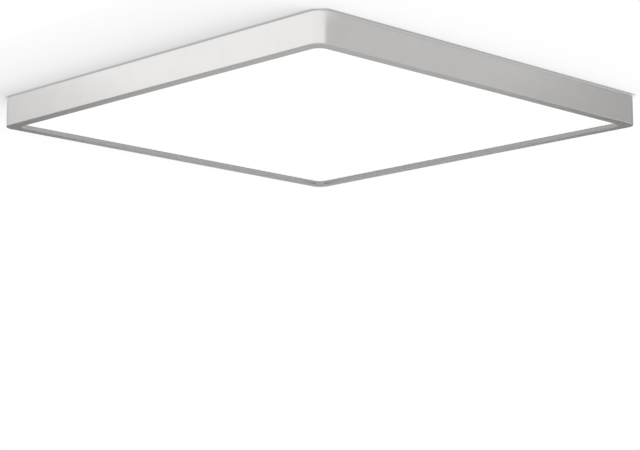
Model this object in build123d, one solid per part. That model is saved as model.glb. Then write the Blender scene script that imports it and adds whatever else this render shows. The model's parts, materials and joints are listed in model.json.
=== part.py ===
from build123d import *
import os
from math import atan2, cos, degrees, radians, sin

# Square flush mount ceiling light, edge lit, in millimetres.
# The origin is the centre of the ceiling bracket's upper face, which lies on the ceiling plane z = 0.
# +Z points up, the sides run along X and Y, and the light leaves the lamp downwards.

# ---------------------------------------------------------------- frame
FRAME_SIDE = 300.0
FRAME_HEIGHT = 19.4
SHADOW_GAP = 0.6            # the frame's upper edge hangs this far under the ceiling
FRAME_CORNER_R = 8.0
FRAME_WALL = 1.4
FRAME_EDGE_R = 0.6          # rounding of the lower outer edge
LIP_WIDTH = 7.4             # outer face to the lit opening
LIP_FLOOR = 1.2
UPSTAND_WALL = 1.2          # wall that rises round the opening and carries the sheets
DIFFUSER_RECESS = 2.8       # lower edge of the frame to the diffuser
OPENING_CORNER_R = 6.0

# ---------------------------------------------------------------- sheets, from below upwards
DIFFUSER_T = 1.5
LIGHT_GUIDE_T = 3.0
REFLECTOR_T = 0.3
FOAM_T = 0.6
BACK_PLATE_T = 0.8
SHEET_EDGE_GAP = 0.8        # sheets to the walls without LEDs
SHEET_CORNER_R = 3.0
NOTCH_GAP = 0.3             # sheets round bosses and sockets
PLATE_EDGE_GAP = 0.4

# ---------------------------------------------------------------- screw bosses and screws
BOSS_COUNT = 3              # on each of the two sides without LEDs
BOSS_INSET = 4.0            # outer face of the frame to the screw's axis
BOSS_END_INSET = 12.0       # corner of the frame to the last boss
BOSS_WIDTH = 4.8
SCREW_R = 1.25
SCREW_HEAD_R = 2.2
SCREW_HEAD_T = 1.3
SCREW_LENGTH = 5.0
THREAD_GAP = 0.03           # radial, between a screw and its tapped hole
HOLE_GAP = 0.15             # radial, between a screw or rivet and a plain hole
PILOT_SPARE = 0.8           # tapped hole deeper than its screw
TAIL_REACH = 0.4            # screw or rivet past the back plate's lower face
RELIEF_WIDTH = 6.4          # window in the foam round each such end

# ---------------------------------------------------------------- LED boards
STRIP_END_INSET = 15.0      # corner of the frame to the board's end
STRIP_GAP = 0.2             # board to the lip and to the grommets
STRIP_T = 1.0
TAPE_T = 0.2
CHIP_LENGTH = 3.5
CHIP_MARGIN = 0.1           # light guide past the chip, above and below
CHIP_T = 0.8
CHIP_PITCH = 9.0
CHIP_GAP = 0.3              # chip to light guide
SOCKET_LENGTH = 6.0
SOCKET_DEPTH = 3.6
SOCKET_END = 4.0            # board's end to the socket
SOCKET_LIFT = 0.2           # diffuser to the socket
CHIP_END_GAP = 1.5          # socket to the first chip

# ---------------------------------------------------------------- edge grommets
GROMMET_WALL = 0.7
GROMMET_FLANGE = 0.8
GROMMET_FLANGE_T = 0.4
GROMMET_GAP = 0.3           # lead to grommet

# ---------------------------------------------------------------- ceiling bracket
BRACKET_LENGTH = 196.0
BRACKET_WIDTH = 32.0
BRACKET_DEPTH = 4.0         # with its two flanges
BRACKET_T = 1.5
BRACKET_BEND = 1.0          # inner bend radius
BOX_SLOT_SPACING = 79.4     # between the centres of the slots for the ceiling box
BOX_SLOT_LENGTH = 15.0
BOX_SLOT_WIDTH = 4.8
WIRE_HOLE_R = 11.0

# ---------------------------------------------------------------- snap fit
CATCH_X = 86.0              # centre of the lamp to the catch's lip
CATCH_LIP = 4.0
CATCH_BASE = 13.0
CATCH_WIDTH = 34.0
CATCH_T = 1.2
CATCH_BEND = 0.6
CATCH_RIVET_SPACING = 22.0
SEAT_GAP = 0.1              # lip to bracket, and lip to spring, with the lamp up
SPRING_T = 0.5
SPRING_WIDTH = 12.0
SPRING_BASE = 20.5
SPRING_SHOULDER = 1.0       # run of the shoulder, along X
SPRING_ANGLE = 35.0         # slope that draws the lip up, in degrees
SPRING_ABOVE = 3.0          # slope above the lip's edge
SPRING_BELOW = 2.9          # slope below it, down to the nose
SPRING_TAIL_X = 4.2
SPRING_TAIL_Z = 2.4
SPRING_BEND = 1.2
RIVET_R = 1.5
RIVET_HEAD_R = 2.4
RIVET_HEAD_T = 0.8
SPRING_RIVET_INSET = 4.5    # spring's inner end to the first rivet
SPRING_RIVET_SPACING = 9.0

# ---------------------------------------------------------------- back plate beads
BEAD_LENGTH = 120.0
BEAD_WIDTH = 9.0
BEAD_RISE = 0.8
BEAD_INSET = 20.0           # wall of the frame to the bead's middle
BEAD_TAPER = 40.0

# ---------------------------------------------------------------- driver
DRIVER_LENGTH = 110.0
DRIVER_WIDTH = 44.0
DRIVER_HEIGHT = 9.4
DRIVER_Y = -52.0
DRIVER_WALL = 1.2
DRIVER_CORNER_R = 2.5
LID_T = 1.2
LID_RIM = 1.5
LID_GAP = 0.15
SNAP_X = 32.0               # middle of the driver to its snap legs
SNAP_WIDTH = 6.0
SNAP_T = 0.9
SNAP_DEPTH = 3.7
SNAP_HOOK = 0.7
SNAP_HOOK_HEIGHT = 1.1
SNAP_GAP = 0.1
EAR_REACH = 9.0
EAR_WIDTH = 8.0
EAR_T = 2.0
EAR_OFFSET = 15.5           # driver's middle line to the ears
BOARD_T = 1.2
BOARD_LIFT = 1.0
BOARD_SIDE_GAP = 0.3        # board to the snap legs
BOARD_END_GAP = 4.5         # board to the end walls, where the leads come in
PEG_R = 0.9
PILLAR_R = 2.0
PEG_INSET = 4.0
COMPONENT_GAP = 0.4         # tallest component to the lid

# ---------------------------------------------------------------- components on the driver's board
TRANSFORMER_X = -6.0
TRANSFORMER_LENGTH = 17.0
TRANSFORMER_WIDTH = 15.0
TRANSFORMER_LEG = 3.2
WINDING_GAP = 0.2
CAPACITOR_X = -34.0
CAPACITOR_LENGTH = 13.0
CAPACITOR_SPACING = 6.0
FILM_LENGTH = 12.0
FILM_WIDTH = 5.0
CHOKE_X = 12.0
CHOKE_OFFSET = -4.0         # driver's middle line to the choke
CHOKE_R = 4.5
CHOKE_FLANGE = 0.9
CHOKE_WAIST = 0.8
CHIP_BODIES = (
    # x, offset from the driver's middle line, length, width, height
    (-22.0, -9.0, 8.0, 6.0, 2.4),
    (-20.0, 4.0, 5.0, 4.0, 1.6),
    (8.0, 9.0, 6.0, 4.0, 1.6),
    (24.0, -8.0, 7.0, 5.0, 2.2),
    (36.0, -2.0, 4.0, 3.0, 1.4),
)

# ---------------------------------------------------------------- colour temperature selector
SELECTOR_X = 28.0
SELECTOR_OFFSET = 9.0       # driver's middle line to the selector
SELECTOR_STEP = 2.5         # knob travel from the middle position to either side
KNOB_BASE = 3.2
KNOB_BASE_T = 1.0
KNOB_STEM = 2.4
KNOB_STEM_WIDTH = 1.6
KNOB_CAP = 4.0
KNOB_CAP_WIDTH = 3.6
KNOB_CAP_T = 0.8
KNOB_RIDGE = 0.3
KNOB_GAP = 0.25             # knob to everything it slides past
SELECTOR_WALL = 0.8

# ---------------------------------------------------------------- lever terminal block
POLE_COUNT = 3
POLE_PITCH = 6.5
TERMINAL_WALL = 1.0
TERMINAL_FRONT = 30.0       # distance of the wire entries from the lamp's middle
TERMINAL_DEPTH = 20.0
TERMINAL_HEIGHT = 9.0
TERMINAL_EDGE_R = 0.8
LEVER_HINGE = 5.0           # front face to the hinge line
LEVER_T = 1.8
LEVER_OVERHANG = 1.5        # lever tip past the rear face
LEVER_GAP = 0.3
PIN_R = 0.8
PIN_REACH = 0.4             # into the wall beside the lever
PIN_GAP = 0.05
ENTRY_R = 1.6
ENTRY_MOUTH_R = 2.3
ENTRY_MOUTH = 1.0
ENTRY_DEPTH = 9.0
CONTACT_T = 0.6
CONTACT_WIDTH = 4.0
CONTACT_GAP = 0.05
CONTACT_FRONT = 2.0         # front face of the block to the contact strip
CONTACT_REAR = 1.0          # rear face to the strip
LUG_REACH = 8.0
LUG_WIDTH = 8.0
LUG_T = 2.0

# ---------------------------------------------------------------- leads
LEAD_R = 1.0
LEAD_SIDES = 8              # the leads' round section is drawn with this many flats
LED_LEAD_R = 1.2
LEAD_GAP = 0.15             # lead to the hole it passes
LEAD_INSERT = 5.0           # length inside the terminal block
LEAD_BEND = 8.0
EARTH_BEND = 4.5
LEAD_SPACING = 4.0
LEAD_EXIT_OFFSET = 6.0      # driver's middle line to the first mains lead
LEAD_RUN = 10.0             # driver's end to the first lead's run
LEAD_LOOP = 12.0            # rear of the terminal block to the first lead's loop
LED_EXIT_OFFSET = -11.0     # driver's middle line to the LED leads
LED_BEND = 12.0
LED_STRAIGHT = 20.0         # straight stretch at the driver's end
LED_APPROACH = 30.0         # straight stretch in front of the grommet
HUMP_RISE = 4.4             # rise over the back plate's edge
HUMP_RAMP = 5.0
HUMP_FLAT = 7.0
HUMP_BEND = 3.4
CLIP_LENGTH = 6.0
CLIP_WALL = 1.2
EARTH_X = 26.0
EARTH_Y = 57.0
EARTH_SCREW_R = 2.0
EARTH_HEX_R = 3.6
EARTH_HEX_T = 2.2
EARTH_WASHER_R = 3.8
EARTH_WASHER_T = 0.5
EYELET_R = 4.0
EYELET_T = 0.8
BARREL_WALL = 0.55
BARREL_LENGTH = 6.0
BRACKET_EARTH_X = 55.0
BRACKET_EARTH_Y = 7.0

# ---------------------------------------------------------------- levels and faces worked out
HALF = FRAME_SIDE / 2
FRAME_TOP = -SHADOW_GAP
FRAME_LOW = FRAME_TOP - FRAME_HEIGHT
LIP_TOP = FRAME_LOW + LIP_FLOOR
DIFFUSER_LOW = FRAME_LOW + DIFFUSER_RECESS
GUIDE_LOW = DIFFUSER_LOW + DIFFUSER_T
REFLECTOR_LOW = GUIDE_LOW + LIGHT_GUIDE_T
FOAM_LOW = REFLECTOR_LOW + REFLECTOR_T
PLATE_LOW = FOAM_LOW + FOAM_T
PLATE_TOP = PLATE_LOW + BACK_PLATE_T
WALL_FACE = HALF - FRAME_WALL
TAPE_FACE = WALL_FACE - TAPE_T
STRIP_FACE = TAPE_FACE - STRIP_T
CHIP_FACE = STRIP_FACE - CHIP_T
GUIDE_X = CHIP_FACE - CHIP_GAP
GUIDE_Y = WALL_FACE - SHEET_EDGE_GAP
OPENING = FRAME_SIDE - 2 * LIP_WIDTH
STRIP_LOW = LIP_TOP + STRIP_GAP
STRIP_WIDTH = PLATE_LOW - GROMMET_FLANGE_T - STRIP_GAP - STRIP_LOW
STRIP_LENGTH = FRAME_SIDE - 2 * STRIP_END_INSET
SOCKET_Y = -(STRIP_LENGTH / 2 - SOCKET_END - SOCKET_LENGTH / 2)
GROMMET_X = STRIP_FACE - SOCKET_DEPTH / 2
GROMMET_R = LED_LEAD_R + GROMMET_GAP
PLATE_NOTCH_R = GROMMET_R + GROMMET_WALL
LEAD_Z = PLATE_TOP + DRIVER_WALL + LED_LEAD_R
DRIVER_END = DRIVER_LENGTH / 2
DRIVER_TOP = PLATE_TOP + DRIVER_HEIGHT
LID_LOW = DRIVER_TOP - LID_T
BOARD_LOW = PLATE_TOP + DRIVER_WALL + BOARD_LIFT
BOARD_TOP = BOARD_LOW + BOARD_T
COMPONENT_HEIGHT = LID_LOW - COMPONENT_GAP - BOARD_TOP
BOARD_LENGTH = DRIVER_LENGTH - 2 * (DRIVER_WALL + BOARD_END_GAP)
BOARD_WIDTH = DRIVER_WIDTH - 2 * (DRIVER_WALL + SNAP_GAP + SNAP_T + BOARD_SIDE_GAP)
EAR_X = DRIVER_END + EAR_REACH - EAR_WIDTH / 2
EAR_Y = DRIVER_Y + EAR_OFFSET
SELECTOR_Y = DRIVER_Y + SELECTOR_OFFSET
KNOB_BASE_LOW = SELECTOR_WALL + KNOB_GAP
SELECTOR_CHAMBER = KNOB_BASE_T + 2 * KNOB_GAP
SELECTOR_HEIGHT = SELECTOR_CHAMBER + 2 * SELECTOR_WALL
TERMINAL_WIDTH = POLE_COUNT * POLE_PITCH + TERMINAL_WALL
TERMINAL_REAR = TERMINAL_FRONT + TERMINAL_DEPTH
TERMINAL_TOP = PLATE_TOP + TERMINAL_HEIGHT
LUG_X = TERMINAL_WIDTH / 2 + LUG_REACH - LUG_WIDTH / 2
LUG_Y = TERMINAL_FRONT + TERMINAL_DEPTH / 2
HINGE_Y = TERMINAL_FRONT + LEVER_HINGE
HINGE_Z = TERMINAL_TOP - LEVER_T
CATCH_TOP = -BRACKET_DEPTH - SEAT_GAP
CATCH_WEB_X = CATCH_X + CATCH_LIP
CATCH_RIVET_X = CATCH_WEB_X + CATCH_T + (CATCH_BASE - CATCH_T) / 2
CATCH_END_X = CATCH_WEB_X + CATCH_BASE
TAIL_Z = PLATE_LOW - TAIL_REACH

POLE_X = [POLE_PITCH * (pole - (POLE_COUNT - 1) / 2) for pole in range(POLE_COUNT)]
BOSS_PITCH = 2 * (HALF - BOSS_END_INSET) / (BOSS_COUNT - 1)
BOSS_POINTS = [
    (BOSS_PITCH * (place - (BOSS_COUNT - 1) / 2), side * (HALF - BOSS_INSET))
    for side in (-1, 1)
    for place in range(BOSS_COUNT)
]
MODULE_POINTS = [(side * EAR_X, EAR_Y, EAR_T) for side in (-1, 1)]
MODULE_POINTS += [(side * LUG_X, LUG_Y, LUG_T) for side in (-1, 1)]
CATCH_POINTS = [
    (end * CATCH_RIVET_X, side * CATCH_RIVET_SPACING / 2) for end in (-1, 1) for side in (-1, 1)
]
SPRING_POINTS = [
    CATCH_X - SPRING_ABOVE * cos(radians(SPRING_ANGLE)) - SPRING_SHOULDER - SPRING_BASE
    + SPRING_RIVET_INSET + place * SPRING_RIVET_SPACING
    for place in range(2)
]


# ---------------------------------------------------------------- small helpers
def block(x_low, x_high, y_low, y_high, z_low, z_high):
    """Box between two opposite corners."""
    middle = ((x_low + x_high) / 2, (y_low + y_high) / 2, (z_low + z_high) / 2)
    return Pos(*middle) * Box(x_high - x_low, y_high - y_low, z_high - z_low)


def slab(length, width, z_low, z_high, corner):
    """Plate about the Z axis with rounded corners."""
    return Pos(0, 0, z_low) * extrude(RectangleRounded(length, width, corner), z_high - z_low)


def rod(x, y, z_low, z_high, radius):
    """Upright cylinder."""
    return Pos(x, y, (z_low + z_high) / 2) * Cylinder(radius, z_high - z_low)


def pan_screw(x, y, seat, length):
    """Plain pan head screw, its head resting at the height seat."""
    head = rod(x, y, seat, seat + SCREW_HEAD_T, SCREW_HEAD_R)
    return head + rod(x, y, seat - length, seat, SCREW_R)


def bent_strip(points, bends, thickness, width):
    """Strip bent about Y. Its metal lies to the right of the line through points (x, z)."""
    line = Wire(FilletPolyline(*points, radius=bends).edges())
    face = Plane.XZ * make_face(line.offset_2d(thickness, side=Side.RIGHT))
    return extrude(face, width / 2, both=True)


def lead(points, bends, radius):
    """Lead with a many-sided section, along straight runs joined by tangent arcs."""
    path = Wire(FilletPolyline(*points, radius=bends).edges())
    start = Plane(origin=path @ 0, z_dir=path % 0)
    return sweep(start * RegularPolygon(radius, LEAD_SIDES), path=path)


def other_side(piece):
    """The same piece at the opposite end of the lamp."""
    return mirror(piece, about=Plane.YZ)


# ---------------------------------------------------------------- frame and sheets
def boss_block(x, y, z_low, z_high, half_width, wall_y):
    """Square column about a screw's axis that runs out to the wall beside it."""
    inner = abs(y) - half_width
    near, far = sorted((inner, wall_y)) if y > 0 else sorted((-inner, -wall_y))
    return block(x - half_width, x + half_width, near, far, z_low, z_high)


def make_frame():
    """Rim with a lip, an upstand round the opening and bosses for the back plate's screws."""
    body = slab(FRAME_SIDE, FRAME_SIDE, FRAME_LOW, FRAME_TOP, FRAME_CORNER_R)
    body = fillet(body.edges().group_by(Axis.Z)[0], FRAME_EDGE_R)
    inner = FRAME_SIDE - 2 * FRAME_WALL
    body -= slab(inner, inner, LIP_TOP, FRAME_TOP, FRAME_CORNER_R - FRAME_WALL)
    outside = OPENING + 2 * UPSTAND_WALL
    body += slab(outside, outside, LIP_TOP, DIFFUSER_LOW, OPENING_CORNER_R + UPSTAND_WALL)
    for x, y in BOSS_POINTS:
        body += boss_block(x, y, LIP_TOP, PLATE_LOW, BOSS_WIDTH / 2, WALL_FACE)
    body -= slab(OPENING, OPENING, FRAME_LOW, DIFFUSER_LOW, OPENING_CORNER_R)
    pilot_depth = SCREW_LENGTH - BACK_PLATE_T + PILOT_SPARE
    for x, y in BOSS_POINTS:
        body -= rod(x, y, PLATE_LOW - pilot_depth, PLATE_LOW, SCREW_R + THREAD_GAP)
    return body


def boss_notches(z_low, z_high):
    """Space that a sheet leaves round the bosses."""
    notches = Part()
    for x, y in BOSS_POINTS:
        notches += boss_block(x, y, z_low, z_high, BOSS_WIDTH / 2 + NOTCH_GAP, HALF)
    return notches


def socket_notches(z_low, z_high, inner_x, half_width):
    """Space that a sheet leaves round the two lead sockets."""
    notch = block(inner_x, HALF, SOCKET_Y - half_width, SOCKET_Y + half_width, z_low, z_high)
    return notch + other_side(notch)


def make_sheet(z_low, thickness):
    """Sheet that fills the frame between the LED rows, notched round the bosses."""
    z_high = z_low + thickness
    return slab(2 * GUIDE_X, 2 * GUIDE_Y, z_low, z_high, SHEET_CORNER_R) - boss_notches(z_low, z_high)


def make_notched_sheet(z_low, thickness):
    """Sheet that is also notched round the sockets."""
    inner_x = STRIP_FACE - SOCKET_DEPTH - NOTCH_GAP
    half_width = SOCKET_LENGTH / 2 + NOTCH_GAP
    return make_sheet(z_low, thickness) - socket_notches(z_low, z_low + thickness, inner_x, half_width)


def make_foam():
    """Foam sheet, with room for the grommets and for the ends of screws and rivets."""
    grommet = PLATE_NOTCH_R + GROMMET_FLANGE + NOTCH_GAP
    foam = make_sheet(FOAM_LOW, FOAM_T)
    foam -= socket_notches(FOAM_LOW, PLATE_LOW, GROMMET_X - grommet, grommet)
    points = [point[:2] for point in MODULE_POINTS] + CATCH_POINTS + [(EARTH_X, EARTH_Y)]
    half = RELIEF_WIDTH / 2
    for x, y in points:
        foam -= block(x - half, x + half, y - half, y + half, FOAM_LOW, PLATE_LOW)
    return foam


def bead(x, y, angle, z_low):
    """Tapered ridge of one pressed bead, standing on the height z_low."""
    outline = SlotOverall(BEAD_LENGTH, BEAD_WIDTH)
    return Pos(x, y, z_low) * Rot(0, 0, angle) * extrude(outline, BEAD_RISE, taper=BEAD_TAPER)


def make_back_plate():
    """Pressed steel plate: screw holes, lead notches, fixing holes and four raised beads."""
    size = 2 * (WALL_FACE - PLATE_EDGE_GAP)
    plate = slab(size, size, PLATE_LOW, PLATE_TOP, FRAME_CORNER_R - FRAME_WALL)
    reach = WALL_FACE - BEAD_INSET
    for x, y, angle in ((0, reach, 0), (0, -reach, 0), (reach, 0, 90), (-reach, 0, 90)):
        plate += bead(x, y, angle, PLATE_TOP)
        plate -= bead(x, y, angle, PLATE_LOW)
    for x, y in BOSS_POINTS:
        plate -= rod(x, y, PLATE_LOW, PLATE_TOP, SCREW_R + HOLE_GAP)
    for x, y, _ in MODULE_POINTS:
        plate -= rod(x, y, PLATE_LOW, PLATE_TOP, SCREW_R + THREAD_GAP)
    for x, y in CATCH_POINTS:
        plate -= rod(x, y, PLATE_LOW, PLATE_TOP, RIVET_R + THREAD_GAP)
    plate -= rod(EARTH_X, EARTH_Y, PLATE_LOW, PLATE_TOP, EARTH_SCREW_R + THREAD_GAP)
    notch = rod(GROMMET_X, SOCKET_Y, PLATE_LOW, PLATE_TOP, PLATE_NOTCH_R)
    notch += block(
        GROMMET_X, HALF, SOCKET_Y - PLATE_NOTCH_R, SOCKET_Y + PLATE_NOTCH_R, PLATE_LOW, PLATE_TOP
    )
    return plate - notch - other_side(notch)


def make_back_plate_screws():
    """Screws from the back plate into the frame's bosses."""
    return Compound(children=[pan_screw(x, y, PLATE_TOP, SCREW_LENGTH) for x, y in BOSS_POINTS])


# ---------------------------------------------------------------- LED boards, at the +X wall
def make_tape():
    """Thermal tape between the wall and the board."""
    half = STRIP_LENGTH / 2
    return block(TAPE_FACE, WALL_FACE, -half, half, STRIP_LOW, STRIP_LOW + STRIP_WIDTH)


def make_strip():
    """Metal-core board with its corners cut off."""
    half = STRIP_LENGTH / 2
    board = block(STRIP_FACE, TAPE_FACE, -half, half, STRIP_LOW, STRIP_LOW + STRIP_WIDTH)
    return chamfer(board.edges().filter_by(Axis.X), STRIP_T)


def make_chips():
    """Row of LED packages, level with the light guide's edge."""
    first = SOCKET_Y + SOCKET_LENGTH / 2 + CHIP_END_GAP + CHIP_LENGTH / 2
    count = int(-2 * first / CHIP_PITCH) + 1
    z_low = GUIDE_LOW + CHIP_MARGIN
    z_high = REFLECTOR_LOW - CHIP_MARGIN
    chip = block(CHIP_FACE, STRIP_FACE, -CHIP_LENGTH / 2, CHIP_LENGTH / 2, z_low, z_high)
    start = -CHIP_PITCH * (count - 1) / 2
    return Compound(children=[Pos(0, start + CHIP_PITCH * place, 0) * chip for place in range(count)])


def make_socket():
    """Lead socket on the board's face, with an open slot on its inner side."""
    low = GUIDE_LOW + SOCKET_LIFT
    half = SOCKET_LENGTH / 2
    inner = STRIP_FACE - SOCKET_DEPTH
    socket = block(inner, STRIP_FACE, SOCKET_Y - half, SOCKET_Y + half, low, FOAM_LOW)
    slot = SOCKET_DEPTH / 6
    window = block(inner, inner + slot, SOCKET_Y - half / 2, SOCKET_Y + half / 2, low, FOAM_LOW - slot)
    return socket - window


def u_shape(radius, reach, z_low, z_high):
    """Upright U, open towards the frame's wall."""
    shape = rod(GROMMET_X, SOCKET_Y, z_low, z_high, radius)
    return shape + block(GROMMET_X, reach, SOCKET_Y - radius, SOCKET_Y + radius, z_low, z_high)


def make_grommet():
    """U-shaped bush, clipped over the edge of the back plate's notch."""
    reach = WALL_FACE - PLATE_EDGE_GAP
    low = PLATE_LOW - GROMMET_FLANGE_T
    high = PLATE_TOP + GROMMET_FLANGE_T
    flange_r = PLATE_NOTCH_R + GROMMET_FLANGE
    body = u_shape(PLATE_NOTCH_R, reach, PLATE_LOW, PLATE_TOP)
    body += u_shape(flange_r, reach, low, PLATE_LOW)
    body += u_shape(flange_r, reach, PLATE_TOP, high)
    return body - u_shape(GROMMET_R, HALF, low, high)


def make_led_lead():
    """Lead from the driver's end to the socket, over a hump at the plate's edge."""
    exit_y = DRIVER_Y + LED_EXIT_OFFSET
    hump_z = LEAD_Z + HUMP_RISE
    points = [
        (DRIVER_END - DRIVER_WALL - LEAD_INSERT / 2, exit_y, LEAD_Z),
        (DRIVER_END + LED_STRAIGHT, exit_y, LEAD_Z),
        (GROMMET_X - LED_APPROACH, SOCKET_Y, LEAD_Z),
        (GROMMET_X - HUMP_FLAT - HUMP_RAMP, SOCKET_Y, LEAD_Z),
        (GROMMET_X - HUMP_FLAT, SOCKET_Y, hump_z),
        (GROMMET_X, SOCKET_Y, hump_z),
        (GROMMET_X, SOCKET_Y, FOAM_LOW),
    ]
    return lead(points, [LED_BEND, LED_BEND, HUMP_BEND, HUMP_BEND, HUMP_BEND], LED_LEAD_R)


# ---------------------------------------------------------------- ceiling bracket and snap fit
def make_bracket():
    """Channel of steel strip: wire hole, slots for the ceiling box, rivet and earth screw holes."""
    length, width, depth = BRACKET_LENGTH, BRACKET_WIDTH, BRACKET_DEPTH
    channel = block(-length / 2, length / 2, -width / 2, width / 2, -depth, 0)
    channel = fillet(channel.edges().filter_by(Axis.X).group_by(Axis.Z)[-1], BRACKET_BEND + BRACKET_T)
    inner_y = width / 2 - BRACKET_T
    hollow = block(-length / 2, length / 2, -inner_y, inner_y, -depth, -BRACKET_T)
    channel -= fillet(hollow.edges().filter_by(Axis.X).group_by(Axis.Z)[-1], BRACKET_BEND)
    channel -= rod(0, 0, -BRACKET_T, 0, WIRE_HOLE_R)
    slot = Pos(0, 0, -BRACKET_T) * extrude(SlotOverall(BOX_SLOT_LENGTH, BOX_SLOT_WIDTH), BRACKET_T)
    for end in (-1, 1):
        channel -= Pos(end * BOX_SLOT_SPACING / 2, 0, 0) * slot
        for x in SPRING_POINTS:
            channel -= rod(end * x, 0, -BRACKET_T, 0, RIVET_R + THREAD_GAP)
    return channel - rod(BRACKET_EARTH_X, BRACKET_EARTH_Y, -BRACKET_T, 0, EARTH_SCREW_R + THREAD_GAP)


def make_spring():
    """Leaf spring under the bracket: flat base, slope that holds the catch's lip, and lead-in tail."""
    slope = (cos(radians(SPRING_ANGLE)), -sin(radians(SPRING_ANGLE)))
    lip_edge = (CATCH_X, CATCH_TOP - CATCH_T)
    contact = (lip_edge[0] + SEAT_GAP * slope[1], lip_edge[1] - SEAT_GAP * slope[0])
    shoulder = (CATCH_X - SPRING_ABOVE * slope[0], contact[1] - SPRING_ABOVE * slope[1])
    nose = (contact[0] + SPRING_BELOW * slope[0], contact[1] + SPRING_BELOW * slope[1])
    points = [
        (shoulder[0] - SPRING_SHOULDER - SPRING_BASE, -BRACKET_T),
        (shoulder[0] - SPRING_SHOULDER, -BRACKET_T),
        (contact[0] - SPRING_ABOVE * slope[0], shoulder[1]),
        nose,
        (nose[0] - SPRING_TAIL_X, nose[1] - SPRING_TAIL_Z),
    ]
    spring = bent_strip(points, [SPRING_BEND, SPRING_BEND / 2, SPRING_BEND], SPRING_T, SPRING_WIDTH)
    for x in SPRING_POINTS:
        spring -= rod(x, 0, -BRACKET_T - SPRING_T, -BRACKET_T, RIVET_R + THREAD_GAP)
    return spring


def rivet(x, y, z_low, z_high, upper_head, lower_head):
    """Rivet between two seats, with heads of the given thicknesses."""
    body = rod(x, y, z_low, z_high, RIVET_R)
    if upper_head:
        body += rod(x, y, z_high, z_high + upper_head, RIVET_HEAD_R)
    if lower_head:
        body += rod(x, y, z_low - lower_head, z_low, RIVET_HEAD_R)
    return body


def make_spring_rivets():
    """Rivets of the leaf springs, flush with the bracket's upper face."""
    low = -BRACKET_T - SPRING_T
    return Compound(
        children=[rivet(end * x, 0, low, 0, 0, RIVET_HEAD_T) for end in (-1, 1) for x in SPRING_POINTS]
    )


def make_catch():
    """Steel catch on the back plate, whose lip the spring draws up against the bracket."""
    lip_low = CATCH_TOP - CATCH_T
    points = [
        (CATCH_END_X, PLATE_TOP),
        (CATCH_WEB_X, PLATE_TOP),
        (CATCH_WEB_X, lip_low),
        (CATCH_X, lip_low),
    ]
    catch = bent_strip(points, [CATCH_BEND + CATCH_T, CATCH_BEND], CATCH_T, CATCH_WIDTH)
    base_end = catch.edges().filter_by(Axis.Z).group_by(Axis.X)[-1]
    catch = fillet(base_end, CATCH_BASE / 4)
    for x, y in CATCH_POINTS:
        catch -= rod(x, y, PLATE_TOP, PLATE_TOP + CATCH_T, RIVET_R + THREAD_GAP)
    return catch


def make_catch_rivets():
    """Rivets of both catches, through the back plate."""
    high = PLATE_TOP + CATCH_T
    return Compound(
        children=[rivet(x, y, PLATE_LOW, high, RIVET_HEAD_T, TAIL_REACH) for x, y in CATCH_POINTS]
    )


def earth_screw(x, y, seat, tip):
    """Hexagon head screw with a washer face."""
    screw = rod(x, y, tip, seat, EARTH_SCREW_R) + rod(x, y, seat, seat + EARTH_WASHER_T, EARTH_WASHER_R)
    head = extrude(RegularPolygon(EARTH_HEX_R, 6), EARTH_HEX_T)
    return screw + Pos(x, y, seat + EARTH_WASHER_T) * head


def make_bracket_earth_screw():
    """Earth screw that hangs head down in the bracket's channel."""
    upright = earth_screw(BRACKET_EARTH_X, BRACKET_EARTH_Y, BRACKET_T, 0)
    return mirror(upright, about=Plane.XY)


# ---------------------------------------------------------------- driver
def driver_slab(inset, z_low, z_high):
    """Plate with the driver's outline, drawn in by inset."""
    corner = DRIVER_CORNER_R - inset
    plate = slab(DRIVER_LENGTH - 2 * inset, DRIVER_WIDTH - 2 * inset, z_low, z_high, corner)
    return Pos(0, DRIVER_Y, 0) * plate


def snap_windows():
    """Windows in the long walls for the lid's hooks."""
    low = LID_LOW - SNAP_DEPTH - SNAP_GAP
    high = LID_LOW - SNAP_DEPTH + SNAP_HOOK_HEIGHT + SNAP_GAP
    half = SNAP_WIDTH / 2 + SNAP_GAP
    windows = Part()
    for x in (-SNAP_X, SNAP_X):
        windows += block(
            x - half, x + half, DRIVER_Y - DRIVER_WIDTH / 2, DRIVER_Y + DRIVER_WIDTH / 2, low, high
        )
    return windows


def peg_points():
    """Places of the pegs that carry the driver's board."""
    x = BOARD_LENGTH / 2 - PEG_INSET
    y = BOARD_WIDTH / 2 - PEG_INSET
    return [(end * x, DRIVER_Y + side * y) for end in (-1, 1) for side in (-1, 1)]


def mains_exit_points():
    """Where the two mains leads leave the driver's end wall."""
    first = DRIVER_Y + LEAD_EXIT_OFFSET
    return [first, first - LEAD_SPACING]


def end_hole(y, radius):
    """Hole along X through the +X end wall, in line with a lead."""
    hole = Pos(DRIVER_END - DRIVER_WALL / 2, y, LEAD_Z) * Rot(0, 90, 0)
    return hole * Cylinder(radius + LEAD_GAP, 2 * DRIVER_WALL)


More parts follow.
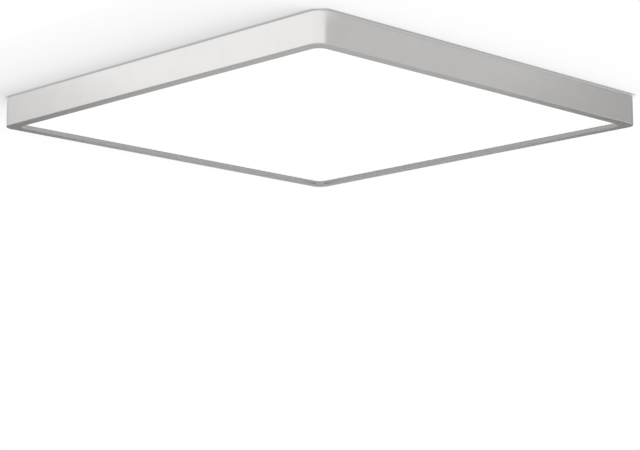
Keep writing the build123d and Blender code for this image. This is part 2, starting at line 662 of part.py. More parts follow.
def make_driver_case():
    """Open tray with ears, board pegs, lead holes and windows for the lid's hooks."""
    case = driver_slab(0, PLATE_TOP, LID_LOW)
    case -= driver_slab(DRIVER_WALL, PLATE_TOP + DRIVER_WALL, LID_LOW)
    for x, y in peg_points():
        case += rod(x, y, PLATE_TOP + DRIVER_WALL, BOARD_LOW, PILLAR_R)
        case += rod(x, y, BOARD_LOW, BOARD_TOP + PEG_R / 2, PEG_R)
    ear = block(DRIVER_END - DRIVER_WALL, EAR_X, EAR_Y - EAR_WIDTH / 2, EAR_Y + EAR_WIDTH / 2, 0, EAR_T)
    ear += rod(EAR_X, EAR_Y, 0, EAR_T, EAR_WIDTH / 2)
    ear -= rod(EAR_X, EAR_Y, 0, EAR_T, SCREW_R + HOLE_GAP)
    ear = Pos(0, 0, PLATE_TOP) * ear
    led_hole = end_hole(DRIVER_Y + LED_EXIT_OFFSET, LED_LEAD_R)
    case += ear + other_side(ear)
    case -= led_hole + other_side(led_hole)
    for y in mains_exit_points():
        case -= end_hole(y, LEAD_R)
    case -= snap_windows()
    return case - driver_slab(DRIVER_WALL, LID_LOW - LID_RIM, LID_LOW)


def make_driver_lid():
    """Lid with a rim, four snap legs and the slot for the selector knob."""
    lid = driver_slab(0, LID_LOW, DRIVER_TOP)
    lid = chamfer(lid.edges().group_by(Axis.Z)[-1], LID_T / 3)
    rim_inset = DRIVER_WALL + LID_GAP
    lid += driver_slab(rim_inset, LID_LOW - LID_RIM, LID_LOW)
    lid -= driver_slab(rim_inset + SNAP_T, LID_LOW - LID_RIM, LID_LOW)
    wall = DRIVER_WIDTH / 2 - DRIVER_WALL - SNAP_GAP
    low = LID_LOW - SNAP_DEPTH
    for x in (-SNAP_X, SNAP_X):
        for side in (-1, 1):
            leg_y = sorted((side * (wall - SNAP_T), side * wall))
            hook_y = sorted((side * wall, side * (wall + SNAP_GAP + SNAP_HOOK)))
            leg = block(-SNAP_WIDTH / 2, SNAP_WIDTH / 2, leg_y[0], leg_y[1], low, LID_LOW)
            hook_top = low + SNAP_HOOK_HEIGHT
            hook = block(-SNAP_WIDTH / 2, SNAP_WIDTH / 2, hook_y[0], hook_y[1], low, hook_top)
            tip = hook.edges().filter_by(Axis.X).group_by(Axis.Z)[0].sort_by(Axis.Y)
            hook = chamfer(tip[-1] if side > 0 else tip[0], SNAP_HOOK / 2)
            lid += Pos(x, DRIVER_Y, 0) * (leg + hook)
    slot_length = KNOB_STEM + 2 * (SELECTOR_STEP + KNOB_GAP)
    slot_width = KNOB_STEM_WIDTH + 2 * KNOB_GAP
    slot = Box(slot_length, slot_width, LID_T)
    return lid - Pos(SELECTOR_X, SELECTOR_Y, (LID_LOW + DRIVER_TOP) / 2) * slot


def make_driver_board():
    """Circuit board on the case's pegs."""
    board = Pos(0, DRIVER_Y, 0) * slab(BOARD_LENGTH, BOARD_WIDTH, BOARD_LOW, BOARD_TOP, BOARD_T)
    for x, y in peg_points():
        board -= rod(x, y, BOARD_LOW, BOARD_TOP, PEG_R + HOLE_GAP)
    return board


def on_board(x, offset):
    """Place on the board's upper face."""
    return Pos(x, DRIVER_Y + offset, BOARD_TOP)


def make_transformer_core():
    """Ferrite core: outer ring with a middle leg."""
    length, width, leg, height = TRANSFORMER_LENGTH, TRANSFORMER_WIDTH, TRANSFORMER_LEG, COMPONENT_HEIGHT
    core = Box(length, width, height)
    window_width = (width - 3 * leg) / 2
    window = Box(length - 2 * leg, window_width, height)
    shift = (leg + window_width) / 2
    core -= Pos(0, shift, 0) * window + Pos(0, -shift, 0) * window
    return on_board(TRANSFORMER_X, 0) * Pos(0, 0, height / 2) * core


def make_transformer_winding():
    """Two halves of the winding, one in each window of the core."""
    window_length = TRANSFORMER_LENGTH - 2 * TRANSFORMER_LEG
    window_width = (TRANSFORMER_WIDTH - 3 * TRANSFORMER_LEG) / 2
    height = COMPONENT_HEIGHT - WINDING_GAP
    half = Box(window_length - 2 * WINDING_GAP, window_width - 2 * WINDING_GAP, height)
    half = fillet(half.edges().filter_by(Axis.X).group_by(Axis.Z)[-1], window_width / 4)
    shift = (TRANSFORMER_LEG + window_width) / 2
    place = on_board(TRANSFORMER_X, 0) * Pos(0, 0, height / 2)
    return Compound(children=[place * Pos(0, side * shift, 0) * half for side in (-1, 1)])


def make_capacitors():
    """Two round capacitors lying on the board, and a square film capacitor."""
    radius = COMPONENT_HEIGHT / 2
    can = Rot(0, 90, 0) * Cylinder(radius, CAPACITOR_LENGTH)
    can = chamfer(can.edges().group_by(Axis.X)[-1], radius / 5)
    pieces = [
        on_board(CAPACITOR_X, side * CAPACITOR_SPACING / 2) * Pos(0, 0, radius) * can for side in (-1, 1)
    ]
    film = Box(FILM_LENGTH, FILM_WIDTH, COMPONENT_HEIGHT)
    film = fillet(film.edges().filter_by(Axis.Z), FILM_WIDTH / 8)
    pieces.append(on_board(CAPACITOR_X, 2 * CAPACITOR_SPACING) * Pos(0, 0, COMPONENT_HEIGHT / 2) * film)
    return Compound(children=pieces)


def make_choke():
    """Drum choke: two flanges with the winding between them."""
    choke = Cylinder(CHOKE_R, COMPONENT_HEIGHT)
    groove = COMPONENT_HEIGHT - 2 * CHOKE_FLANGE
    choke -= Cylinder(CHOKE_R, groove) - Cylinder(CHOKE_R - CHOKE_WAIST, groove)
    return on_board(CHOKE_X, CHOKE_OFFSET) * Pos(0, 0, COMPONENT_HEIGHT / 2) * choke


def make_driver_chips():
    """Rectifier and integrated circuits."""
    pieces = [
        on_board(x, offset) * Pos(0, 0, height / 2) * Box(length, width, height)
        for x, offset, length, width, height in CHIP_BODIES
    ]
    return Compound(children=pieces)


# ---------------------------------------------------------------- selector
def selector_place():
    """Middle of the selector on the board's upper face."""
    return Pos(SELECTOR_X, SELECTOR_Y, BOARD_TOP)


def make_selector_housing():
    """Switch housing with a chamber for the knob's base and a slot for its stem."""
    travel = 2 * (SELECTOR_STEP + KNOB_GAP)
    chamber = (KNOB_BASE + travel, KNOB_BASE + 2 * KNOB_GAP)
    body = Box(chamber[0] + 2 * SELECTOR_WALL, chamber[1] + 2 * SELECTOR_WALL, SELECTOR_HEIGHT)
    body -= Box(chamber[0], chamber[1], SELECTOR_CHAMBER)
    slot = Box(KNOB_STEM + travel, KNOB_STEM_WIDTH + 2 * KNOB_GAP, SELECTOR_HEIGHT / 2)
    body -= Pos(0, 0, SELECTOR_HEIGHT / 4) * slot
    return selector_place() * Pos(0, 0, SELECTOR_HEIGHT / 2) * body


def make_selector_knob():
    """Sliding knob: base in the housing, stem through the lid's slot, ridged cap on top."""
    cap_low = DRIVER_TOP + KNOB_GAP - BOARD_TOP
    base_top = KNOB_BASE_LOW + KNOB_BASE_T
    knob = Pos(0, 0, KNOB_BASE_LOW + KNOB_BASE_T / 2) * Box(KNOB_BASE, KNOB_BASE, KNOB_BASE_T)
    knob += Pos(0, 0, (base_top + cap_low) / 2) * Box(KNOB_STEM, KNOB_STEM_WIDTH, cap_low - base_top)
    cap = Pos(0, 0, cap_low + KNOB_CAP_T / 2) * Box(KNOB_CAP, KNOB_CAP_WIDTH, KNOB_CAP_T)
    for ridge in (-1, 0, 1):
        groove = Box(2 * KNOB_RIDGE, KNOB_CAP_WIDTH, KNOB_RIDGE)
        cap -= Pos((ridge + 0.5) * KNOB_CAP / 4, 0, cap_low + KNOB_CAP_T - KNOB_RIDGE / 2) * groove
    return selector_place() * (knob + cap)


# ---------------------------------------------------------------- terminal block
def lever_width():
    """Width of one lever between the block's walls."""
    return POLE_PITCH - TERMINAL_WALL - 2 * LEVER_GAP


def make_terminal_body():
    """Housing with lugs, wire entries, lead holes, contact pockets and lever slots."""
    front, rear, low, high = TERMINAL_FRONT, TERMINAL_REAR, PLATE_TOP, TERMINAL_TOP
    half = TERMINAL_WIDTH / 2
    body = block(-half, half, front, rear, low, high)
    body = fillet(body.edges().filter_by(Axis.Z), TERMINAL_EDGE_R)
    lug = block(half, LUG_X, LUG_Y - LUG_WIDTH / 2, LUG_Y + LUG_WIDTH / 2, low, low + LUG_T)
    lug += rod(LUG_X, LUG_Y, low, low + LUG_T, LUG_WIDTH / 2)
    lug -= rod(LUG_X, LUG_Y, low, low + LUG_T, SCREW_R + HOLE_GAP)
    body += lug + other_side(lug)
    drum_r = LEVER_T + LEVER_GAP
    slot_half = (POLE_PITCH - TERMINAL_WALL) / 2
    axis = Rot(0, 90, 0)
    for x in POLE_X:
        slot = block(x - slot_half, x + slot_half, HINGE_Y - drum_r, rear, HINGE_Z - LEVER_GAP, high)
        slot += Pos(x, HINGE_Y, HINGE_Z) * axis * Cylinder(drum_r, 2 * slot_half)
        entry = Plane(origin=(x, front, LEAD_Z), z_dir=(0, 1, 0))
        mouth = Pos(0, 0, ENTRY_MOUTH / 2) * Cone(ENTRY_MOUTH_R, ENTRY_R, ENTRY_MOUTH)
        body -= slot + entry * (mouth + Pos(0, 0, ENTRY_DEPTH / 2) * Cylinder(ENTRY_R, ENTRY_DEPTH))
        exit_hole = Plane(origin=(x, rear - LEAD_INSERT, LEAD_Z), z_dir=(0, 1, 0))
        body -= exit_hole * Pos(0, 0, LEAD_INSERT / 2) * Cylinder(LEAD_R + LEAD_GAP, LEAD_INSERT)
        body -= contact_block(x, CONTACT_GAP)
    return body - Pos(0, HINGE_Y, HINGE_Z) * axis * Cylinder(PIN_R + PIN_GAP, TERMINAL_WIDTH)


def contact_block(x, gap):
    """Outline of one contact strip on the floor of its pole, grown by gap."""
    half = CONTACT_WIDTH / 2 + gap
    front = TERMINAL_FRONT + CONTACT_FRONT - gap
    rear = TERMINAL_REAR - CONTACT_REAR + gap
    return block(x - half, x + half, front, rear, PLATE_TOP, PLATE_TOP + CONTACT_T + gap)


def make_terminal_contacts():
    """Copper strip of each pole."""
    return Compound(children=[contact_block(x, 0) for x in POLE_X])


def make_terminal_lever(x):
    """Lever of the pole at x: hinge drum with two pins, and a plate with a thumb edge."""
    half = lever_width() / 2
    tip = TERMINAL_REAR + LEVER_OVERHANG
    axis = Rot(0, 90, 0)
    plate = block(x - half, x + half, HINGE_Y, tip, HINGE_Z, TERMINAL_TOP)
    plate = chamfer(plate.edges().filter_by(Axis.X).group_by(Axis.Y)[-1].sort_by(Axis.Z)[0], LEVER_T / 2)
    plate = fillet(plate.edges().filter_by(Axis.Z).group_by(Axis.Y)[-1], TERMINAL_EDGE_R)
    drum = Pos(x, HINGE_Y, HINGE_Z) * axis * Cylinder(LEVER_T, 2 * half)
    pins = Pos(x, HINGE_Y, HINGE_Z) * axis * Cylinder(PIN_R, 2 * (half + LEVER_GAP + PIN_REACH))
    return plate + drum + pins


# ---------------------------------------------------------------- leads behind the lamp
def make_mains_lead(order):
    """Lead from the driver to a pole of the terminal block: 0 is live, 1 is neutral."""
    run_x = DRIVER_END + LEAD_RUN + (1 - order) * LEAD_SPACING
    loop_y = TERMINAL_REAR + LEAD_LOOP + (1 - order) * LEAD_SPACING
    exit_y = mains_exit_points()[1 - order]
    points = [
        (DRIVER_END - DRIVER_WALL - LEAD_INSERT / 2, exit_y, LEAD_Z),
        (run_x, exit_y, LEAD_Z),
        (run_x, loop_y, LEAD_Z),
        (POLE_X[order], loop_y, LEAD_Z),
        (POLE_X[order], TERMINAL_REAR - LEAD_INSERT, LEAD_Z),
    ]
    return lead(points, LEAD_BEND, LEAD_R)


def make_earth_lead():
    """Lead from the last pole to the eyelet under the earth screw."""
    points = [
        (POLE_X[-1], TERMINAL_REAR - LEAD_INSERT, LEAD_Z),
        (POLE_X[-1], EARTH_Y, LEAD_Z),
        (EARTH_X - EYELET_R - BARREL_LENGTH / 4, EARTH_Y, LEAD_Z),
    ]
    return lead(points, EARTH_BEND, LEAD_R)


def make_earth_lug():
    """Crimped eyelet: ring under the screw, tongue, and barrel round the lead."""
    eyelet = rod(EARTH_X, EARTH_Y, PLATE_TOP, PLATE_TOP + EYELET_T, EYELET_R)
    barrel_x = EARTH_X - EYELET_R - BARREL_LENGTH / 2
    outer = LEAD_R + PIN_GAP + BARREL_WALL
    eyelet += block(barrel_x, EARTH_X, EARTH_Y - outer, EARTH_Y + outer, PLATE_TOP, PLATE_TOP + EYELET_T)
    barrel_place = Pos(barrel_x, EARTH_Y, LEAD_Z) * Rot(0, 90, 0)
    eyelet += barrel_place * Cylinder(outer, BARREL_LENGTH)
    stem = Box(BARREL_LENGTH / 2, outer, LEAD_Z - PLATE_TOP)
    eyelet += Pos(barrel_x, EARTH_Y, (LEAD_Z + PLATE_TOP) / 2) * stem
    eyelet -= barrel_place * Cylinder(LEAD_R + PIN_GAP, BARREL_LENGTH)
    return eyelet - rod(EARTH_X, EARTH_Y, PLATE_TOP, PLATE_TOP + EYELET_T, EARTH_SCREW_R + HOLE_GAP)


def lead_clip(lead_offsets, radius):
    """Closed saddle about the origin, for leads along Y at the given offsets in X."""
    wall = CLIP_WALL + radius + LEAD_GAP
    low, high = min(lead_offsets) - wall, max(lead_offsets) + wall
    clip = block(low, high, -CLIP_LENGTH / 2, CLIP_LENGTH / 2, PLATE_TOP, LEAD_Z + wall)
    clip = fillet(clip.edges().filter_by(Axis.Y).group_by(Axis.Z)[-1], CLIP_WALL)
    for offset in lead_offsets:
        clip -= Pos(offset, 0, LEAD_Z) * Rot(90, 0, 0) * Cylinder(radius + LEAD_GAP, CLIP_LENGTH)
    return clip


def make_lead_clips():
    """Saddles on the back plate: two for the mains leads and one for each LED lead."""
    run_x = DRIVER_END + LEAD_RUN
    pair = lead_clip((0, LEAD_SPACING), LEAD_R)
    single = lead_clip((0,), LED_LEAD_R)
    start = Vector(DRIVER_END + LED_STRAIGHT, DRIVER_Y + LED_EXIT_OFFSET)
    end = Vector(GROMMET_X - LED_APPROACH, SOCKET_Y)
    along = end - start
    middle = (start + end) * 0.5
    turn = -degrees(atan2(along.X, along.Y))
    diagonal = Pos(middle.X, middle.Y, 0) * Rot(0, 0, turn) * single
    y = BRACKET_WIDTH / 2 + CLIP_LENGTH + CLIP_WALL
    return Compound(
        children=[Pos(run_x, -y, 0) * pair, Pos(run_x, y, 0) * pair, diagonal, other_side(diagonal)]
    )


def make_module_screws():
    """Screws that hold the driver's ears and the terminal block's lugs."""
    screws = []
    for x, y, lug_height in MODULE_POINTS:
        seat = PLATE_TOP + lug_height
        screws.append(pan_screw(x, y, seat, seat - TAIL_Z))
    return Compound(children=screws)


# ---------------------------------------------------------------- all pieces
PIECES = {
    "frame": make_frame(),
    "diffuser": make_sheet(DIFFUSER_LOW, DIFFUSER_T),
    "light_guide": make_notched_sheet(GUIDE_LOW, LIGHT_GUIDE_T),
    "reflector": make_notched_sheet(REFLECTOR_LOW, REFLECTOR_T),
    "foam_sheet": make_foam(),
    "back_plate": make_back_plate(),
    "back_plate_screws": make_back_plate_screws(),
    "catch_rivets": make_catch_rivets(),
    "ceiling_bracket": make_bracket(),
    "spring_rivets": make_spring_rivets(),
    "bracket_earth_screw": make_bracket_earth_screw(),
    "driver_case": make_driver_case(),
    "driver_lid": make_driver_lid(),
    "driver_board": make_driver_board(),
    "driver_transformer": make_transformer_core(),
    "transformer_winding": make_transformer_winding(),
    "driver_capacitors": make_capacitors(),
    "driver_choke": make_choke(),
    "driver_chips": make_driver_chips(),
    "selector_housing": make_selector_housing(),
    "selector_knob": make_selector_knob(),
    "terminal_body": make_terminal_body(),
    "terminal_contacts": make_terminal_contacts(),
    "module_screws": make_module_screws(),
    "lead_live": make_mains_lead(0),
    "lead_neutral": make_mains_lead(1),
    "lead_earth": make_earth_lead(),
    "earth_lug": make_earth_lug(),
    "earth_screw": earth_screw(EARTH_X, EARTH_Y, PLATE_TOP + EYELET_T, TAIL_Z),
    "lead_clips": make_lead_clips(),
}
for pole_name, pole_x in zip(("live", "neutral", "earth"), POLE_X):
    PIECES["lever_" + pole_name] = make_terminal_lever(pole_x)
PAIRS = {
    "thermal_tape": make_tape(),
    "led_strip": make_strip(),
    "led_chips": make_chips(),
    "strip_socket": make_socket(),
    "edge_grommet": make_grommet(),
    "led_lead": make_led_lead(),
    "catch": make_catch(),
    "clip_spring": make_spring(),
}
for pair_name, piece in PAIRS.items():
    PIECES[pair_name + "_right"] = piece
    PIECES[pair_name + "_left"] = other_side(piece)

os.makedirs("parts", exist_ok=True)
for node, piece in PIECES.items():
    export_step(piece, "parts/" + node + ".step")
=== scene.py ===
"""Looks of a square, edge-lit flush mount ceiling light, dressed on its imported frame.

The ceiling is the plane z = 0 and the light leaves the lamp downwards. Everything is in metres,
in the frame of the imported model. Sizes given in millimetres say so in their names or docstrings.
"""
import json
import logging
import math
from dataclasses import dataclass, replace
from enum import Enum
from functools import cache
from typing import Any

import bmesh
import bpy
from mathutils import Matrix, Vector


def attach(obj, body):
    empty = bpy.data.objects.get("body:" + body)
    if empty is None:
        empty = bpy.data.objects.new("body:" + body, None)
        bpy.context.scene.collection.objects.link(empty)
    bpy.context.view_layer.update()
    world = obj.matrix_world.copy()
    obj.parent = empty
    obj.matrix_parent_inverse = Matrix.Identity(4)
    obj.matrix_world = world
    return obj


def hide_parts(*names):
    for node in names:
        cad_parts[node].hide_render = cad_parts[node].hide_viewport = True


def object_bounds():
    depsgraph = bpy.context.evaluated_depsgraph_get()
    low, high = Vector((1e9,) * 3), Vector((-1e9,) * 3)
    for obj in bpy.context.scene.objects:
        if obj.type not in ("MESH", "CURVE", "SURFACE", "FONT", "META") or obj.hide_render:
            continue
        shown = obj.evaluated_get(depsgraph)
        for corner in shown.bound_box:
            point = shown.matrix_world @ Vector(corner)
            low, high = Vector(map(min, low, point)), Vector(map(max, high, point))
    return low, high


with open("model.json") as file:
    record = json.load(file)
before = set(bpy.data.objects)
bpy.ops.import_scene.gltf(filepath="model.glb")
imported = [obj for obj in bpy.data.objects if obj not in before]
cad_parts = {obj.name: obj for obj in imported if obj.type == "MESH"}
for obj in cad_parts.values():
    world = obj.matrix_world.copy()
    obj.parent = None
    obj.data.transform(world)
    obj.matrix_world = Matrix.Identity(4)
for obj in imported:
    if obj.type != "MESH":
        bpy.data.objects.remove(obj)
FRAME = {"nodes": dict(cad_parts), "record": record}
CAD_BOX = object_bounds()
MM = 0.001

RECORD = FRAME["record"]
SLOT_OF: dict[str, str] = {part["node"]: part["material_slot"] for part in RECORD["subparts"]}
BODY_OF: dict[str, str] = {
    node: body for body, nodes in RECORD["behaviour"]["bodies"].items() for node in nodes
}

Point = tuple[float, float, float]
Tree = bpy.types.NodeTree
Socket = bpy.types.NodeSocket
Tint = tuple[Socket, str]
Shape = bmesh.types.BMesh
Ring = list[bmesh.types.BMVert]

# Sockets of a Mix node: two colours and their mixture, and two values.
COLOUR_A, COLOUR_B, COLOUR_OUT = 6, 7, 2
VALUE_A, VALUE_B = 2, 3

BEVEL_SAMPLES = 6
SHADE_SAMPLES = 12
NOISE_REACH = (0.3, 0.7)  # between these lies nearly all of a noise
RANGE_INPUTS = ("From Min", "From Max", "To Min", "To Max")
CREASE = math.radians(32.0)  # faces that meet at more than this keep a sharp edge
SQUARE = ((-1, 1), (1, 1), (1, -1), (-1, -1))  # corners of a level panel that faces down
WAVE_BANDS = 20 / (2 * math.pi)  # bands of a wave of scale 1 in each unit

log = logging.getLogger("ceiling_light")


# ---------------------------------------------------------------- colours, nodes and patterns
def linear(hex_colour: str) -> tuple[float, float, float, float]:
    """Turns an sRGB hex colour into the linear values that a shader takes.

    Args:
        hex_colour: six hex digits after a hash sign.

    Returns:
        Linear red, green and blue, and an alpha of 1.
    """
    shares = [int(hex_colour[place:place + 2], 16) / 255 for place in (1, 3, 5)]
    red, green, blue = (
        share / 12.92 if share <= 0.04045 else ((share + 0.055) / 1.055) ** 2.4 for share in shares
    )
    return red, green, blue, 1.0


def add_node(
    tree: Tree,
    kind: str,
    settings: dict[Any, Any] | None = None,
    links: dict[Any, Socket] | None = None,
) -> bpy.types.Node:
    """Adds a node, gives it its settings and links its inputs.

    Args:
        tree: the node tree that takes the node.
        kind: the node's type, without the words ShaderNode before it.
        settings: values by property name, or by an input's name or number.
        links: output sockets by the name or number of the input that takes them.

    Returns:
        The new node.
    """
    node = tree.nodes.new("ShaderNode" + kind)
    for key, value in (settings or {}).items():
        if not isinstance(key, int) and hasattr(node, key):
            setattr(node, key, value)
        else:
            node.inputs[key].default_value = value
    for key, source in (links or {}).items():
        tree.links.new(source, node.inputs[key])
    return node


def millimetres(tree: Tree, stretch: Point = (1.0, 1.0, 1.0)) -> Socket:
    """Gives the place on the piece in millimetres, so that a pattern's scale is 1 / size.

    Args:
        tree: the material's node tree.
        stretch: factors along X, Y and Z, less than 1 to draw a pattern out.

    Returns:
        The socket of the place.
    """
    place = add_node(tree, "TexCoord")
    scale = [factor / MM for factor in stretch]
    mapped = add_node(tree, "Mapping", {"Scale": scale}, {"Vector": place.outputs["Object"]})
    return mapped.outputs["Vector"]


def mottle(
    tree: Tree,
    size_mm: float,
    low: float = 0.0,
    high: float = 1.0,
    stretch: Point = (1.0, 1.0, 1.0),
) -> Socket:
    """Gives an uneven pattern with patches of a real size.

    Args:
        tree: the material's node tree.
        size_mm: size of one patch.
        low: value where the pattern is weakest.
        high: value where it is strongest.
        stretch: factors along X, Y and Z, less than 1 to draw the patches out.

    Returns:
        The socket of the value.
    """
    patches = {"Scale": 1 / size_mm, "Detail": 2.0}
    cloud = add_node(tree, "TexNoise", patches, {"Vector": millimetres(tree, stretch)})
    reach = dict(zip(RANGE_INPUTS, (*NOISE_REACH, low, high)))
    return add_node(tree, "MapRange", reach, {"Value": cloud.outputs[0]}).outputs["Result"]


def off_middle(tree: Tree, place: Socket) -> Socket:
    """Gives the greater of a place's distances from the middle along X and Y.

    Args:
        tree: the node tree.
        place: the place's socket.

    Returns:
        The distance's socket.
    """
    away = add_node(tree, "VectorMath", {"operation": "ABSOLUTE"}, {0: place})
    parts = add_node(tree, "SeparateXYZ", links={0: away.outputs["Vector"]})
    links = {0: parts.outputs["X"], 1: parts.outputs["Y"]}
    return add_node(tree, "Math", {"operation": "MAXIMUM"}, links).outputs[0]


# ---------------------------------------------------------------- finishes
@dataclass(frozen=True)
class Finish:
    """An even surface, with the values of one real material.

    Attributes:
        colour: sRGB hex colour of the material.
        roughness: roughness of the surface.
        metallic: 1 for bare or anodised metal, 0 for the rest.
        ior: index of refraction of a material that is not metal.
        variation: share by which the colour wanders from place to place.
        variation_mm: size of a patch of that wandering.
        grain_mm: width of one grain of the surface's texture.
        grain_height_mm: height of that texture.
        edge_mm: rounding of the edges, as moulds and shears leave it.
        touched: share by which the roughness wanders where hands and tools have touched.
        touched_grains: size of such a patch, in grains.
    """

    colour: str
    roughness: float
    metallic: float = 0.0
    ior: float = 1.5
    variation: float = 0.03
    variation_mm: float = 12.0
    grain_mm: float = 0.4
    grain_height_mm: float = 0.004
    edge_mm: float = 0.0
    touched: float = 0.08
    touched_grains: float = 3.0

    def material(self, name: str) -> bpy.types.Material:
        """Builds the material.

        Args:
            name: name of the material.

        Returns:
            The finished material.
        """
        made = bpy.data.materials.new(name)
        made.use_nodes = True
        tree = made.node_tree
        shader = tree.nodes["Principled BSDF"]
        shader.inputs["Metallic"].default_value = self.metallic
        if not self.metallic:
            shader.inputs["IOR"].default_value = self.ior
        tree.links.new(self.colours(tree), shader.inputs["Base Color"])
        tree.links.new(self.gloss(tree), shader.inputs["Roughness"])
        tree.links.new(self.relief(tree), shader.inputs["Normal"])
        self.extras(tree, shader)
        return made

    def tint(self, tree: Tree) -> Tint | None:
        """Gives the share and the hex value of a second colour, or nothing where there is none."""
        return None

    def colours(self, tree: Tree) -> Socket:
        """Gives the colours, which wander a little from place to place.

        Args:
            tree: the material's node tree.

        Returns:
            The colour's socket.
        """
        patches = mottle(tree, self.variation_mm, 1 - self.variation, 1 + self.variation)
        grey = add_node(tree, "CombineColor", links={part: patches for part in range(3)})
        plain = {"data_type": "RGBA", COLOUR_A: linear(self.colour)}
        links = {COLOUR_B: grey.outputs["Color"]}
        tint = self.tint(tree)
        if tint is not None:
            share, second = tint
            pair = {**plain, COLOUR_B: linear(second)}
            links[COLOUR_A] = add_node(tree, "Mix", pair, {0: share}).outputs[COLOUR_OUT]
        product = {**plain, "blend_type": "MULTIPLY", 0: 1.0}
        return add_node(tree, "Mix", product, links).outputs[COLOUR_OUT]

    def gloss(self, tree: Tree) -> Socket:
        """Gives the roughness, which wanders a little from patch to patch.

        Args:
            tree: the material's node tree.

        Returns:
            The roughness socket.
        """
        low, high = ((1 + sign * self.touched) * self.roughness for sign in (-1, 1))
        return mottle(tree, self.touched_grains * self.grain_mm, low, high)

    def height(self, tree: Tree) -> Socket:
        """Gives the height of the surface's texture, from 0 to 1."""
        return mottle(tree, self.grain_mm)

    def relief(self, tree: Tree) -> Socket:
        """Gives the surface's texture as a bump, over edges that are a little rounded.

        Args:
            tree: the material's node tree.

        Returns:
            The normal's socket.
        """
        links = {"Height": self.height(tree)}
        if self.edge_mm:
            edge = {"samples": BEVEL_SAMPLES, "Radius": self.edge_mm * MM}
            links["Normal"] = add_node(tree, "Bevel", edge).outputs["Normal"]
        depth = {"Strength": 1.0, "Distance": self.grain_height_mm * MM}
        return add_node(tree, "Bump", depth, links).outputs["Normal"]

    def extras(self, tree: Tree, shader: bpy.types.Node) -> None:
        """Sets what only this kind of finish has, such as its own light."""


@dataclass(frozen=True)
class FrameMetal(Finish):
    """Anodised profile with painted shade: the wall round the opening is painted darker.

    Attributes:
        painted_shade_colour: sRGB hex colour of the painted shade on the wall round the opening.
        shaded_wall_reach_mm: how far from the middle that painted shade reaches.
        shaded_wall_top_mm: height up to which the wall with painted shade is open to view.
        upright_tilt: share of a face's normal that may point up or down on that wall.
    """

    # painted shade on the wall round the opening
    painted_shade_colour: str = "#A2A2A0"
    shaded_wall_reach_mm: float = 142.8
    shaded_wall_top_mm: float = -17.1
    upright_tilt: float = 0.5

    def tint(self, tree: Tree) -> Tint:
        """Marks out the wall round the opening, which takes a painted shade.

        Args:
            tree: the material's node tree.

        Returns:
            The share and colour of the painted shade on that wall.
        """
        place = millimetres(tree)
        parts = add_node(tree, "SeparateXYZ", links={0: place})
        inside = {"operation": "LESS_THAN", 1: self.shaded_wall_reach_mm}
        inner = add_node(tree, "Math", inside, {0: off_middle(tree, place)})
        below = {"operation": "LESS_THAN", 1: self.shaded_wall_top_mm}
        low = add_node(tree, "Math", below, {0: parts.outputs["Z"]})
        face = add_node(tree, "NewGeometry").outputs["True Normal"]
        tilt = add_node(tree, "SeparateXYZ", links={0: face}).outputs["Z"]
        level = {"operation": "COMPARE", 1: 0.0, 2: self.upright_tilt}
        wall = add_node(tree, "Math", level, {0: tilt})
        for part in (inner, low):
            links = {0: wall.outputs[0], 1: part.outputs[0]}
            wall = add_node(tree, "Math", {"operation": "MULTIPLY"}, links)
        # the wall round the opening gets the painted shade colour
        return wall.outputs[0], self.painted_shade_colour


@dataclass(frozen=True)
class OpalSheet(Finish):
    """Opal acrylic, extruded and lit from behind: it glows evenly and hides what is behind it.

    Attributes:
        glow: strength of its light, where 1 is white.
    """

    glow: float = 1.0

    def extras(self, tree: Tree, shader: bpy.types.Node) -> None:
        """Gives the sheet its own white light.

        Args:
            tree: the material's node tree, not used.
            shader: the shader that glows.
        """
        shader.inputs["Emission Color"].default_value = linear("#FFFFFF")
        shader.inputs["Emission Strength"].default_value = self.glow


@dataclass(frozen=True)
class DottedAcrylic(Finish):
    """Clear acrylic with white dots screen-printed on it, which lead the light out of the sheet.

    Attributes:
        dot_pitch_mm: distance between the printed dots.
        dot_radius_mm: radius of a dot.
        dot_colour: sRGB hex colour of the ink.
        clearness: share of the light that passes the sheet.
    """

    dot_pitch_mm: float = 2.0
    dot_radius_mm: float = 0.44
    dot_colour: str = "#FFFFFF"
    clearness: float = 0.85

    def tint(self, tree: Tree) -> Tint:
        """Prints the dots, on a square grid.

        Args:
            tree: the material's node tree.

        Returns:
            The dots' share and colour.
        """
        cells = {"Scale": 1 / self.dot_pitch_mm, "Randomness": 0.0}
        place = millimetres(tree, (1.0, 1.0, 0.0))
        grid = add_node(tree, "TexVoronoi", cells, {"Vector": place})
        inside = {"operation": "LESS_THAN", 1: self.dot_radius_mm / self.dot_pitch_mm}
        dots = add_node(tree, "Math", inside, {0: grid.outputs["Distance"]})
        return dots.outputs[0], self.dot_colour

    def extras(self, tree: Tree, shader: bpy.types.Node) -> None:
        """Lets light through."""
        shader.inputs["Transmission Weight"].default_value = self.clearness


@dataclass(frozen=True)
class CellFoam(Finish):
    """Polyethylene foam, sliced from a block: closed cells that the knife has opened.

    Attributes:
        cell_mm: size of one cell.
    """

    cell_mm: float = 0.9

    def height(self, tree: Tree) -> Socket:
        """Raises the cells' walls."""
        cells = {"Scale": 1 / self.cell_mm}
        return add_node(tree, "TexVoronoi", cells, {0: millimetres(tree)}).outputs["Distance"]


